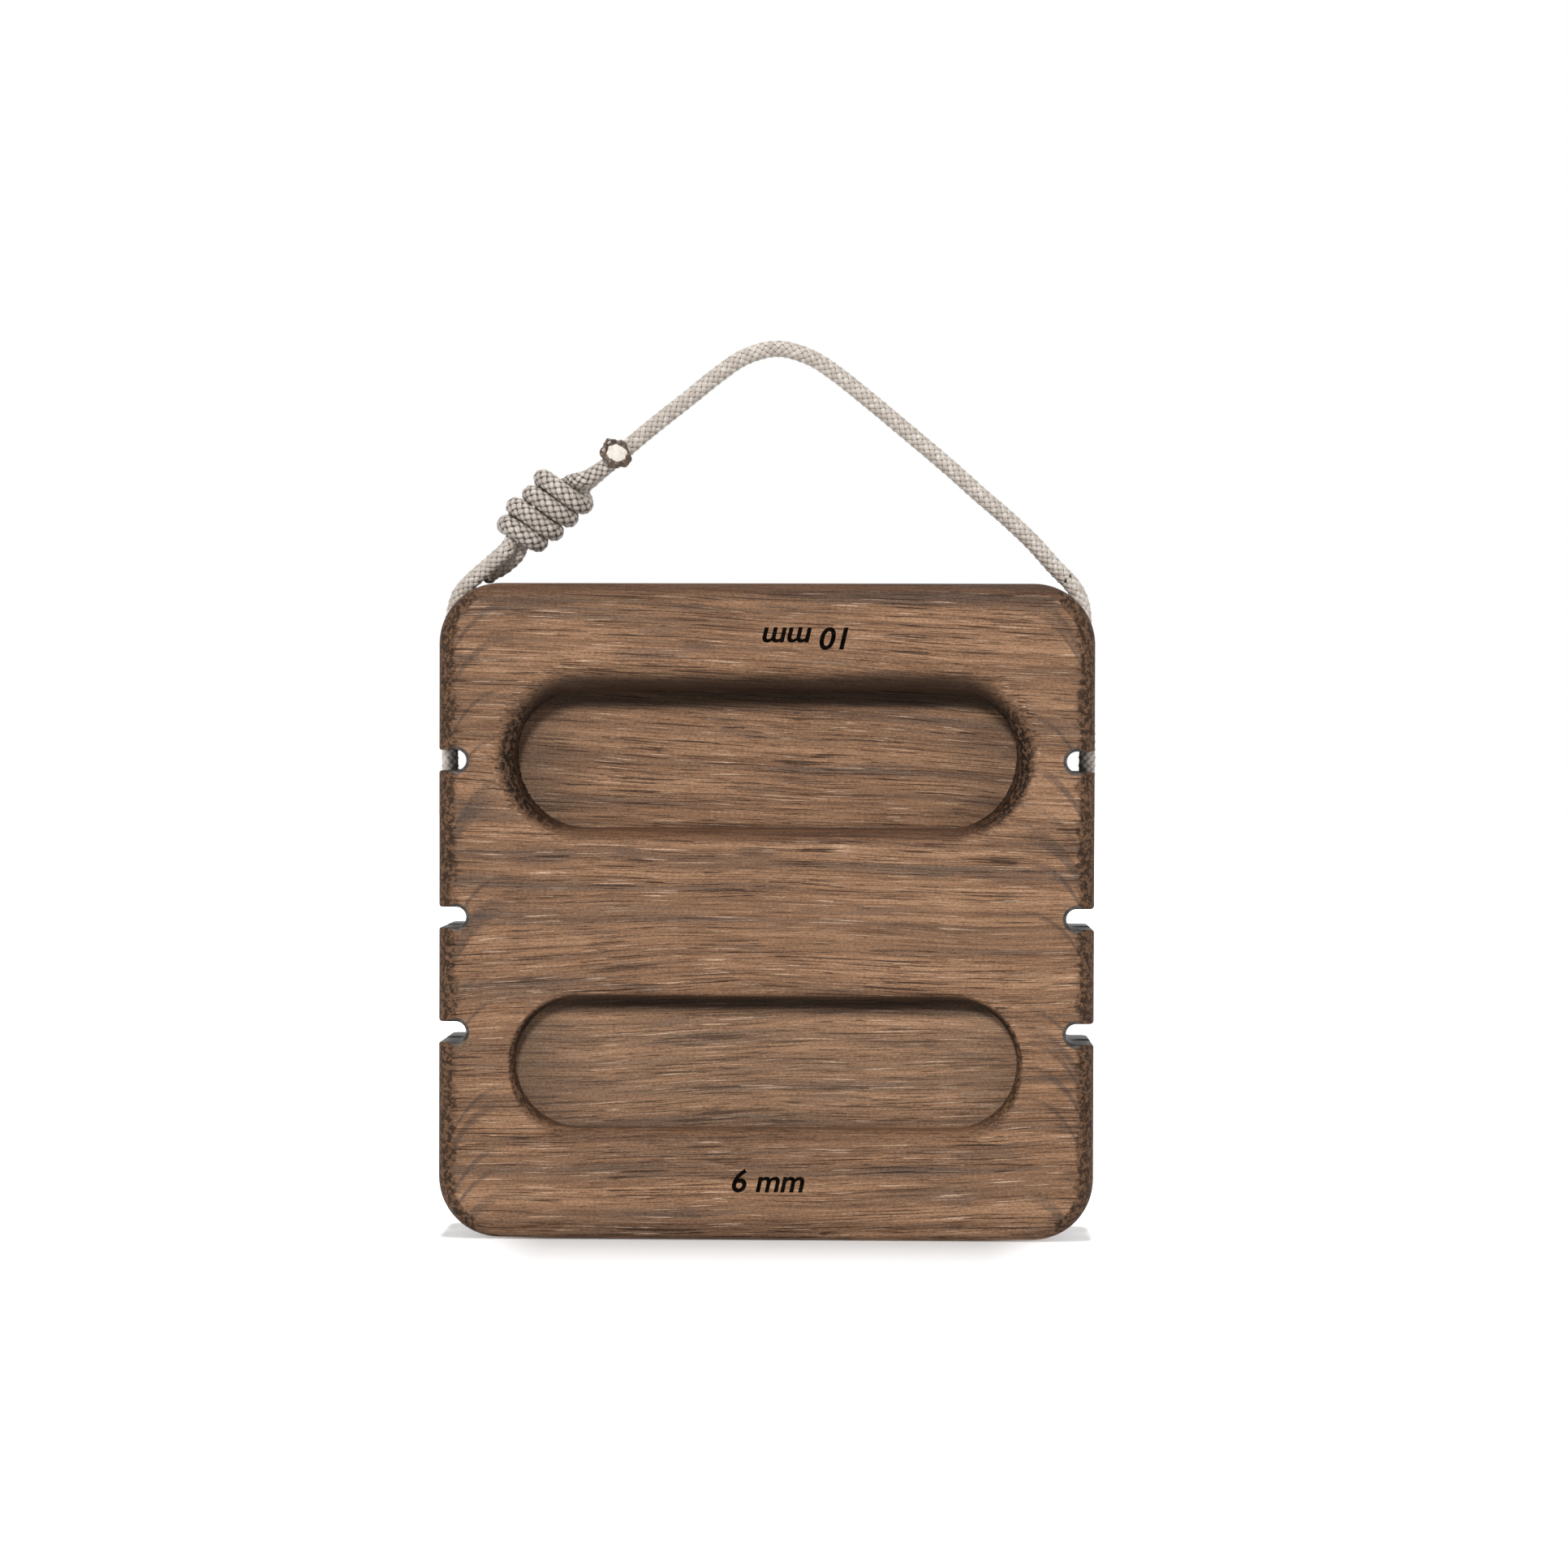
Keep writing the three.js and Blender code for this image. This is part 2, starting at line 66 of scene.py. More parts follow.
camera_data = bpy.data.cameras.new("camera")
camera_data.lens = camera_data.sensor_width * camera_distance / framed_width
camera = bpy.data.objects.new("camera", camera_data)
bpy.context.scene.collection.objects.link(camera)
towards_camera = Vector((
    math.sin(camera_turn) * math.cos(camera_pitch),
    -math.cos(camera_turn) * math.cos(camera_pitch),
    math.sin(camera_pitch),
))
camera.location = camera_target + towards_camera * camera_distance
camera.rotation_mode = "QUATERNION"
camera.rotation_quaternion = (
    (-towards_camera).to_track_quat("-Z", "Y") @ Quaternion((0, 0, 1), camera_roll)
)
bpy.context.scene.camera = camera


# Cord
# One length of 4 mm braided polyamide accessory cord: six strands wound each way over a core, each
# strand a flat bundle of shiny filaments. The core and the gaps between the strands are painted dark
# brown as shade. It is led through the cross bore of the board and up both side channels, and tied
# into a loop above it.
cord_diameter = 0.004
cord_radius = cord_diameter / 2
strands_each_way = 6
braid_pitch = 0.0111
strand_width = 0.00128
strand_thickness = 0.00072
weave_rise = 0.00026
strand_sides = 8
core_radius = 0.00118
core_sides = 10
strand_step = 0.00023
curve_places = 60
tone_seed = 12.9898
tone_scale = 43758.5453
strand_seed = 7.1
way_seed = 3.3


def add_node(tree, kind, sockets=None, **settings):
    made = tree.nodes.new(kind)
    for name, value in settings.items():
        setattr(made, name, value)
    for socket, value in (sockets or {}).items():
        if isinstance(value, bpy.types.NodeSocket):
            tree.links.new(value, made.inputs[socket])
        else:
            made.inputs[socket].default_value = value
    return made


def calculate(tree, operation, first, second=0.5):
    """One number worked out from two others."""
    return add_node(tree, "ShaderNodeMath", {0: first, 1: second}, operation=operation).outputs[0]


def product(tree, first, *others):
    """Several numbers multiplied."""
    for other in others:
        first = calculate(tree, "MULTIPLY", first, other)
    return first


def between(tree, value, low, high):
    """0 where the value is low and 1 where it is high, with a smooth step between them."""
    sockets = {"Value": value, "From Min": low, "From Max": high}
    return add_node(
        tree, "ShaderNodeMapRange", sockets, interpolation_type="SMOOTHSTEP"
    ).outputs["Result"]


def mixed(tree, share, first, second, way="MIX"):
    """A colour between two others, by a share."""
    made = add_node(tree, "ShaderNodeMix", data_type="RGBA", blend_type=way, clamp_factor=True)
    for place, value in ((0, share), (6, first), (7, second)):
        if isinstance(value, bpy.types.NodeSocket):
            tree.links.new(value, made.inputs[place])
        elif place:
            made.inputs[place].default_value = (*value, 1)
        else:
            made.inputs[place].default_value = value
    return made.outputs[2]


def scaled(tree, vector, scale, location=(0, 0, 0)):
    sockets = {"Vector": vector, "Scale": scale, "Location": location}
    return add_node(tree, "ShaderNodeMapping", sockets).outputs[0]


def grainy(tree, vector, scale, detail, roughness):
    sockets = {"Vector": vector, "Scale": scale, "Detail": detail, "Roughness": roughness}
    return add_node(tree, "ShaderNodeTexNoise", sockets).outputs[0]


def paint(tree, shader, colour, relief, strength, distance):
    """Gives a surface its colour and its fine relief."""
    tree.links.new(colour, shader.inputs["Base Color"])
    sockets = {"Height": relief, "Strength": strength, "Distance": distance}
    bump = add_node(tree, "ShaderNodeBump", sockets)
    tree.links.new(bump.outputs[0], shader.inputs["Normal"])


def new_material(name):
    material = bpy.data.materials.new(name)
    material.use_nodes = True
    return material, material.node_tree, material.node_tree.nodes["Principled BSDF"]


def cord_material():
    """Shiny filaments with a painted sheen that differs from float to float, and painted shade, dark brown,
    in the gaps between them and over the core.
    """
    painted_sheen_pale = (0.69, 0.64, 0.583)
    filament_grey = (0.46, 0.405, 0.355)
    filament_dull = (0.42, 0.36, 0.31)
    painted_gap_shade = (0.052, 0.032, 0.022)
    material, tree, shader = new_material("braided_cord")
    rise = add_node(tree, "ShaderNodeAttribute", attribute_name="rise").outputs["Fac"]
    tone = add_node(tree, "ShaderNodeAttribute", attribute_name="tone").outputs["Fac"]
    place = add_node(tree, "ShaderNodeTexCoord")
    filaments = grainy(tree, scaled(tree, place.outputs["UV"], (0.9, 26, 1)), 1, 3, 0.6)
    patches = grainy(tree, place.outputs["Object"], 240, 3, 0.6)
    # Painted sheen: each float and patch of the braid is paler or greyer, standing in for the shine of its
    # filaments.
    shade = calculate(tree, "ADD", product(tree, tone, 0.55), product(tree, patches, 0.45))
    colour = mixed(tree, between(tree, shade, 0.25, 0.75), filament_grey, painted_sheen_pale)
    colour = mixed(tree, between(tree, filaments, 0.62, 0.36), colour, filament_dull)
    # Painted shade: dark brown where the rise is low, that is in the gaps, where a strand passes under
    # another, on the strands' inner sides and over the core.
    colour = mixed(tree, between(tree, rise, 1.10, 0.40), colour, painted_gap_shade)
    paint(tree, shader, colour, filaments, 0.35, 0.0001)
    shader.inputs["Roughness"].default_value = 0.40
    shader.inputs["Specular IOR Level"].default_value = 0.4
    return material


braided_cord = cord_material()


def smooth_route(points, step):
    """Evenly spaced places on one smooth curve through all the points."""
    points = np.array(points, float)
    first = 2 * points[0] - points[1]
    last = 2 * points[-1] - points[-2]
    knots = np.vstack([first, points, last])
    places = []
    for a, b, c, d in zip(knots, knots[1:], knots[2:], knots[3:]):
        before, here, after = (np.sqrt(np.linalg.norm(q - p)) for p, q in ((a, b), (b, c), (c, d)))
        leave = ((b - a) / before - (c - a) / (before + here) + (c - b) / here) * here
        arrive = ((c - b) / here - (d - b) / (here + after) + (d - c) / after) * here
        t = np.linspace(0, 1, curve_places, endpoint=False)[:, None]
        places.append(
            (2 * t**3 - 3 * t**2 + 1) * b + (t**3 - 2 * t**2 + t) * leave
            + (3 * t**2 - 2 * t**3) * c + (t**3 - t**2) * arrive
        )
    places = np.vstack([*places, points[-1:]])
    travelled = np.concatenate([[0], np.cumsum(np.linalg.norm(np.diff(places, axis=0), axis=1))])
    even = np.linspace(0, travelled[-1], max(2, round(travelled[-1] / step) + 1))
    return np.stack([np.interp(even, travelled, places[:, axis]) for axis in range(3)], axis=1)


def directions_along(line):
    ahead = np.gradient(line, axis=0)
    return ahead / np.linalg.norm(ahead, axis=1, keepdims=True)


def untwisted_sides(line, first_side):
    """Two directions square to the line at each of its places, which don't twist round it."""
    ahead = directions_along(line)
    side = np.array(first_side, float)
    sides = []
    for direction in ahead:
        side = side - direction * side.dot(direction)
        side = side / np.linalg.norm(side)
        sides.append(side)
    sides = np.array(sides)
    return sides, np.cross(ahead, sides)


def braid(name, route, radii, first_side, step=strand_step, painted_darkening=0):
    """A braided cord along a route. The radii are the cord's radius at each share of its length. The
    painted darkening lowers the rise all along, so that more of the braid takes the painted gap shade."""
    line = smooth_route(route, step)
    count = len(line)
    travelled = np.linspace(0, step * (count - 1), count)
    shares, values = zip(*radii)
    swell = np.interp(np.linspace(0, 1, count), shares, values) / cord_radius
    side, over = untwisted_sides(line, first_side)
    crown = cord_radius - strand_thickness / 2
    middle = crown - weave_rise
    twist = 2 * math.pi / braid_pitch
    corners, faces, uvs, rises, tones = [], [], [], [], []

    def add_strand(centres, outward, half_width, half_depth, sides, rise, tone):
        start = sum(len(block) for block in corners)
        ahead = directions_along(centres)
        wide = np.cross(ahead, outward)
        wide /= np.linalg.norm(wide, axis=1, keepdims=True)
        out = np.cross(wide, ahead)
        angles = np.arange(sides) * 2 * math.pi / sides
        ring = (centres[:, None, :]
                + wide[:, None, :] * (half_width[:, None] * np.cos(angles))[..., None]
                + out[:, None, :] * (half_depth[:, None] * np.sin(angles))[..., None])
        corners.append(ring.reshape(-1, 3))
        # The rise, which the material paints as shade: lower where a strand passes under and on its inner
        # side, and lowered further by the painted darkening.
        rises.append((rise[:, None] + 0.5 * np.sin(angles)[None, :] - painted_darkening).reshape(-1))
        tones.append(np.repeat(tone, sides))
        here = start + (np.arange(count - 1) * sides)[:, None] + np.arange(sides)[None, :]
        beside = start + (np.arange(count - 1) * sides)[:, None] + (np.arange(sides) + 1)[None, :] % sides
        quads = np.stack([here, beside, beside + sides, here + sides], axis=-1).reshape(-1, 4)
        faces.extend(quads.tolist())
        u = travelled / strand_width
        v = np.arange(sides + 1) / sides
        low = np.broadcast_to(u[:-1, None], (count - 1, sides)).reshape(-1)
        high = np.broadcast_to(u[1:, None], (count - 1, sides)).reshape(-1)
        left = np.broadcast_to(v[None, :-1], (count - 1, sides)).reshape(-1)
        right = np.broadcast_to(v[None, 1:], (count - 1, sides)).reshape(-1)
        uvs.append(np.stack([low, left, low, right, high, right, high, left], axis=-1).reshape(-1, 2))
        end = start + (count - 1) * sides
        faces.append(list(range(start + sides - 1, start - 1, -1)))
        faces.append(list(range(end, end + sides)))
        uvs.append(np.zeros((2 * sides, 2)))

    for way in (1, -1):
        for strand in range(strands_each_way):
            angle = 2 * math.pi * strand / strands_each_way + way * twist * travelled
            wave = strands_each_way * twist * travelled
            rise = way * np.cos(wave)
            outward = side * np.cos(angle)[:, None] + over * np.sin(angle)[:, None]
            reach = (middle + weave_rise * rise) * swell
            float_number = np.round((wave - (0 if way > 0 else math.pi)) / (2 * math.pi))
            seed = float_number + strand_seed * strand + way_seed * way
            tone = np.sin(seed * tone_seed) * tone_scale % 1
            add_strand(
                line + outward * reach[:, None],
                outward,
                strand_width / 2 * swell,
                strand_thickness / 2 * swell,
                strand_sides,
                0.5 + 0.5 * rise,
                tone,
            )
    core = core_radius * swell
    # The core gets the lowest rise, so that it is painted dark as shade between the strands.
    add_strand(line, side, core, core, core_sides, np.full(count, -1.0), np.zeros(count))
    mesh = bpy.data.meshes.new(name)
    mesh.from_pydata(np.vstack(corners), [], faces)
    mesh.polygons.foreach_set("use_smooth", np.ones(len(mesh.polygons), bool))
    for attribute, values in (("rise", rises), ("tone", tones)):
        layer = mesh.attributes.new(attribute, "FLOAT", "POINT")
        layer.data.foreach_set("value", np.concatenate(values).astype(np.float32))
    uv_layer = mesh.uv_layers.new(name="UVMap")
    uv_layer.data.foreach_set("uv", np.vstack(uvs).astype(np.float32).reshape(-1))
    mesh.materials.append(braided_cord)
    made = bpy.data.objects.new("braided_" + name, mesh)
    bpy.context.scene.collection.objects.link(made)
    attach(made, "root")
    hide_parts(name)
    return made


# Cord run inside the board
# The stretch that the wood holds: down the left channel from where the loop ends in it, across the
# bore, up the right channel and out at the upper right corner at 45 degrees. It bows outwards at the
# upper notches.
board_low, board_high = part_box("board")
held_low, held_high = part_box("cord_held_run")
channel_x = held_high.x - cord_radius
exit_bend_radius = 0.0125
exit_bend_z = board_high.z - 0.0075
bore_z = held_low.z + cord_radius
bore_bend_radius = 0.008
bow = 0.001
bow_z = bore_z + 0.025
held_step = 0.0003
eighth_turn = math.pi / 4


def arc(centre_x, centre_z, radius, start, end, steps=7):
    angles = np.linspace(start, end, steps + 1)
    return [(centre_x + radius * math.cos(a), 0, centre_z + radius * math.sin(a)) for a in angles]


right_half = (
    arc(channel_x - bore_bend_radius, bore_z + bore_bend_radius, bore_bend_radius, -2 * eighth_turn, 0)
    + [(channel_x + bow, 0, bow_z)]
    + arc(channel_x - exit_bend_radius, exit_bend_z, exit_bend_radius, 0, eighth_turn)
)
left_end = (-0.0733, 0, 0.1385)
bend_places = 8
left_half = [left_end] + [(-x, y, z) for x, y, z in reversed(right_half[:-bend_places])]
braid("cord_held_run", left_half + right_half, [(0, cord_radius)], (0, 1, 0), step=held_step)


# Cord loop
# The free part of the cord: from the right corner over the top bend, through the knot and down
# into the left channel, where it overlaps the held run. It is squeezed where the knot grips it.
knot_centre = Vector((-0.0523, 0, 0.1665))
knot_lean = math.radians(42.6)
knot_along = Vector((math.cos(knot_lean), 0, math.sin(knot_lean)))
knot_across = Vector((-math.sin(knot_lean), 0, math.cos(knot_lean)))
knot_forward = Vector((0, -1, 0))
squeezed_radius = 0.0014
grip_from = (0.0085, -0.0016, 0)
grip_to = (-0.0085, 0.001, 0)
loosening = 0.02
exit_gap = 0.0003
overlap = 0.0004
path_step = 0.001

right_route = [
    (0.0613, 0.1597),
    (0.0553, 0.1654),
    (0.0488, 0.171),
    (0.0424, 0.1767),
    (0.0358, 0.1823),
    (0.029, 0.188),
    (0.0222, 0.1936),
    (0.0152, 0.1991),
    (0.0094, 0.2027),
    (0.002, 0.2046),
    (-0.0054, 0.2028),
    (-0.0111, 0.1991),
    (-0.018, 0.1936),
    (-0.0251, 0.188),
    (-0.0319, 0.1824),
    (-0.0386, 0.1766),
]
core_shares = [
    (2.1, -0.41, 0),
    (0.8, -0.41, 0),
    (0.2, -0.2, 0),
    (-0.2, 0.2, 0),
    (-0.8, 0.41, 0),
    (-1.6, 0.41, 0),
    (-2.3, 0.14, 0.2),
    (-2.9, -0.14, 0.34),
    (-3.5, -0.14, 0.25),
]
left_route = [
    (-0.0652, 0.1541),
    (-0.0679, 0.1518),
    (-0.0690, 0.1508),
    (-0.0704, 0.1493),
    (-0.0716, 0.1476),
    (-0.0724, 0.1453),
    (-0.0730, 0.1425),
]


def knot_point(along, across, forward):
    return tuple(knot_centre + knot_along * along + knot_across * across + knot_forward * forward)


def knot_places(shares):
    """Places in the knot from shares of the cord's diameter."""
    return [knot_point(*(share * cord_diameter for share in place)) for place in shares]


def share_near(line, target):
    """How far along a line, as a share of it, the place nearest to the target lies."""
    nearest = min(range(len(line)), key=lambda i: (Vector(line[i]) - Vector(target)).length)
    return nearest / (len(line) - 1)


corner_exit = Vector(right_half[-1])
exit_direction = Vector((-math.sin(eighth_turn), 0, math.cos(eighth_turn)))
loop_start = corner_exit + exit_direction * exit_gap
lead_in = loop_start + exit_direction * cord_diameter
loop_end = Vector(left_end) - Vector((0, 0, overlap))
loop_route = [
    tuple(loop_start),
    tuple(lead_in),
    *((x, 0, z) for x, z in right_route),
    *knot_places(core_shares),
    *((x, 0, z) for x, z in left_route),
    tuple(loop_end),
]
loop_line = smooth_route(loop_route, path_step)
gripped_start = share_near(loop_line, knot_point(*grip_from))
gripped_end = share_near(loop_line, knot_point(*grip_to))
loop = braid(
    "cord_loop",
    loop_route,
    [
        (0, cord_radius),
        (gripped_start - loosening, cord_radius),
        (gripped_start, squeezed_radius),
        (gripped_end, squeezed_radius),
        (gripped_end + loosening, cord_radius),
        (1, cord_radius),
    ],
    (0, 1, 0),
    # The whole loop gets a little painted shade.
    painted_darkening=0.12,
)


# Knot wraps
# Each end of the cord crosses behind and turns round both strands one and a half times, so that
# four turns show in front, side by side and pulled tight.
upper_widths = [0.0049, 0.0061, 0.0049, 0.0051]
lower_widths = [0.0037, 0.0043, 0.0056, 0.0049]
wrap_forward = 0.0036
wrap_pitch = 0.0045
wrap_skew = 0.0006
first_turn = 0.0023
wrap_start = first_turn + wrap_pitch + wrap_pitch / 4 + wrap_skew / 2
wrap_turns = 1.5
wrap_radius = 0.00222
places_per_turn = 24
# How much painted shade darkens the knot's wraps and the upper tail.
knot_painted_darkening = 0.36
upper_crossing_shares = [
    (0.13, 0.56, -1.4),
    (0.85, 0.62, -1.85),
    (1.7, 0.55, -1.9),
    (2.25, 0.2, -1.8),
    (2.37, -0.45, -1.6),
    (2.17, -1.05, -1.0),
]
lower_crossing_shares = [
    (0.13, 0.56, -1.4),
    (0.43, 0.46, -1.85),
    (0.98, 0, -1.95),
    (1.53, -0.6, -1.75),
    (1.93, -1.08, -1.1),
]
tuck_shares = [
    (0.2, 1.16, -0.4),
    (0.14, 0.95, -0.56),
]


def wrap_route(half, crossing_shares, widths):
    """One half of the knot: the crossing behind, the turns and the tucked end. The widths are how
    far the cord stands out at each half turn."""
    def to_half(shares):
        return knot_places([(half * along, half * across, forward) for along, across, forward in shares])

    turns = []
    for step in range(int(wrap_turns * places_per_turn) + 1):
        turn = step / places_per_turn
        angle = 2 * math.pi * turn
        along = wrap_start - wrap_pitch * turn - wrap_skew * (1 - math.cos(angle)) / 2
        width = float(np.interp(turn, (0, 0.5, 1, 1.5), widths))
        turns.append(knot_point(
            half * along,
            -half * width * math.cos(angle),
            wrap_forward * math.sin(angle),
        ))
    return to_half(crossing_shares) + turns + to_half(tuck_shares)


wraps = [
    braid(
        "knot_wraps_upper",
        wrap_route(1, upper_crossing_shares, upper_widths),
        [(0, wrap_radius)],
        knot_along,
        painted_darkening=knot_painted_darkening,
    ),
    braid(
        "knot_wraps_lower",
        wrap_route(-1, lower_crossing_shares, lower_widths),
        [(0, wrap_radius)],
        knot_along,
        painted_darkening=knot_painted_darkening,
    ),
]


# Cord tails
# The two short ends that stay outside the knot: the upper one stands out to the front over the
# loop, the lower one lies behind the loop on the board's top edge.
upper_tail_shares = [
    (0.95, 0.41, 0),
    (1.5, 0.41, 0),
    (2.1, 0.42, 0.13),
    (2.5, 0.25, 0.5),
    (2.8, -0.02, 0.85),
    (3.2, -0.3, 1.05),
    (3.9, -0.48, 1.12),
    (4.5, -0.58, 1.18),
    (5.05, -0.62, 1.32),
    (5.35, -0.55, 1.8),
]
lower_tail_shares = [
    (-0.95, -0.41, 0),
    (-1.5, -0.41, 0),
    (-2.05, -0.51, -0.28),
    (-2.58, -0.64, -0.6),
    (-3.3, -0.66, -0.88),
    (-4, -0.58, -1.06),
    (-4.45, -0.42, -1.25),
    (-4.65, -0.36, -1.65),
]
tail_radii = [(0, squeezed_radius), (0.25, squeezed_radius), (0.5, cord_radius), (1, cord_radius)]
tails = [
    braid(
        "cord_tail_upper",
        knot_places(upper_tail_shares),
        tail_radii,
        (0, 1, 0),
        painted_darkening=knot_painted_darkening,
    ),
    braid("cord_tail_lower", knot_places(lower_tail_shares), tail_radii, (0, 1, 0)),
]


# Melted ends
# Each end of the cord is cut and melted: the pale core shows as a flat disc, and the braid round
# it has run together into a lumpy brown rim.
def melted_materials():
    core_dull = (0.58, 0.52, 0.44)
    core_pale = (0.74, 0.70, 0.64)
    rim_black = (0.016, 0.010, 0.006)
    rim_brown = (0.085, 0.047, 0.026)
    painted_glint_pale = (0.42, 0.34, 0.25)
    core, tree, shader = new_material("melted_core")
    place = add_node(tree, "ShaderNodeTexCoord").outputs["Object"]
    cloud = grainy(tree, place, 900, 4, 0.65)
    colour = mixed(tree, between(tree, cloud, 0.3, 0.7), core_dull, core_pale)
    paint(tree, shader, colour, cloud, 0.4, 0.0001)
    shader.inputs["Roughness"].default_value = 0.45

    rim, tree, shader = new_material("melted_rim")
    place = add_node(tree, "ShaderNodeTexCoord").outputs["Object"]
    cloud = grainy(tree, place, 1100, 4, 0.65)
    colour = mixed(tree, between(tree, cloud, 0.36, 0.52), rim_black, rim_brown)
    # Painted highlights: pale glints on the glossy lumps of the rim.
    colour = mixed(tree, between(tree, cloud, 0.59, 0.67), colour, painted_glint_pale)
    paint(tree, shader, colour, cloud, 0.6, 0.00015)
    shader.inputs["Roughness"].default_value = 0.22
    return core, rim


melted_core, melted_rim = melted_materials()


def deselect_all():
    if bpy.context.object and bpy.context.object.mode != "OBJECT":
        bpy.ops.object.mode_set(mode="OBJECT")
    bpy.ops.object.select_all(action="DESELECT")


def join_pieces(name, pieces):
    deselect_all()
    for piece in pieces:
        piece.select_set(True)
    bpy.context.view_layer.objects.active = pieces[0]
    bpy.ops.object.join()
    pieces[0].name = name
    pieces[0].data.name = name
    return pieces[0]


drop_side = Vector((-0.5, 0.87, 0))
drop_narrowness = 8
disc_front = 0.32
disc_back = 0.8
disc_relief = 0.00016


def melted_end(name, tail_shares, core_size, rim_size, lump, seed):
    """The melted end of one tail, made upright and then turned to face along the tail."""
    line = smooth_route(knot_places(tail_shares), strand_step)
    ahead = Vector(line[-1]) - Vector(line[-2])
    ahead.normalize()
    deselect_all()
    bpy.ops.mesh.primitive_uv_sphere_add(segments=48, ring_count=24, radius=core_size)
    disc = bpy.context.object
    disc.data.materials.append(melted_core)
    for vertex in disc.data.vertices:
        vertex.co.z *= disc_front if vertex.co.z > 0 else disc_back
        uneven = noise.noise(vertex.co * 700 + Vector((seed, 0, 0)))
        vertex.co += vertex.co.normalized() * disc_relief * uneven
    bpy.ops.mesh.primitive_torus_add(
        major_segments=72, minor_segments=20, major_radius=rim_size, minor_radius=lump
    )
    rim = bpy.context.object
    rim.data.materials.append(melted_rim)
    for vertex in rim.data.vertices:
        outward = Vector((vertex.co.x, vertex.co.y, 0)).normalized()
        drop = max(0, outward.dot(drop_side)) ** drop_narrowness
        swell = 0.9 * noise.noise(vertex.co * 330 + Vector((seed, seed, 0))) + 0.9 * drop
        small = noise.noise(vertex.co * 1050 + Vector((0, seed, seed)))
        centre = outward * rim_size
        away = vertex.co - centre
        vertex.co = centre + away * (1 + 0.75 * swell + 0.45 * small) + outward * lump * 0.55 * swell
    for piece in (disc, rim):
        piece.data.polygons.foreach_set("use_smooth", np.ones(len(piece.data.polygons), bool))
    made = join_pieces(name + "_lump", [disc, rim])
    turned = ahead.to_track_quat("Z", "Y").to_matrix().to_4x4()
    made.data.transform(Matrix.Translation(Vector(line[-1]) + ahead * lump) @ turned)
    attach(made, "root")
    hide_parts(name)
    return made


melted_ends = [
    melted_end(
        "melted_end_upper",
        upper_tail_shares,
        core_size=0.0029,
        rim_size=0.00275,
        lump=0.00078,
        seed=3.7,
    ),
    melted_end(
        "melted_end_lower",
        lower_tail_shares,
        core_size=0.0017,
        rim_size=0.0017,
        lump=0.0005,
        seed=8.2,
    ),
]


# Board
# One block of dark, heat-treated, open-grained hardwood with its grain running across the front.
# Its corners and outlines are rounded first, then the pockets, notches, channels, cross bore and
# the engraved edge depths are cut out of it one by one.
board_middle_z = (board_low.z + board_high.z) / 2
corner_radius = 0.014
edge_round = 0.004
overrun = 0.003
tiny = 0.000001
quarter_turn = math.pi / 2


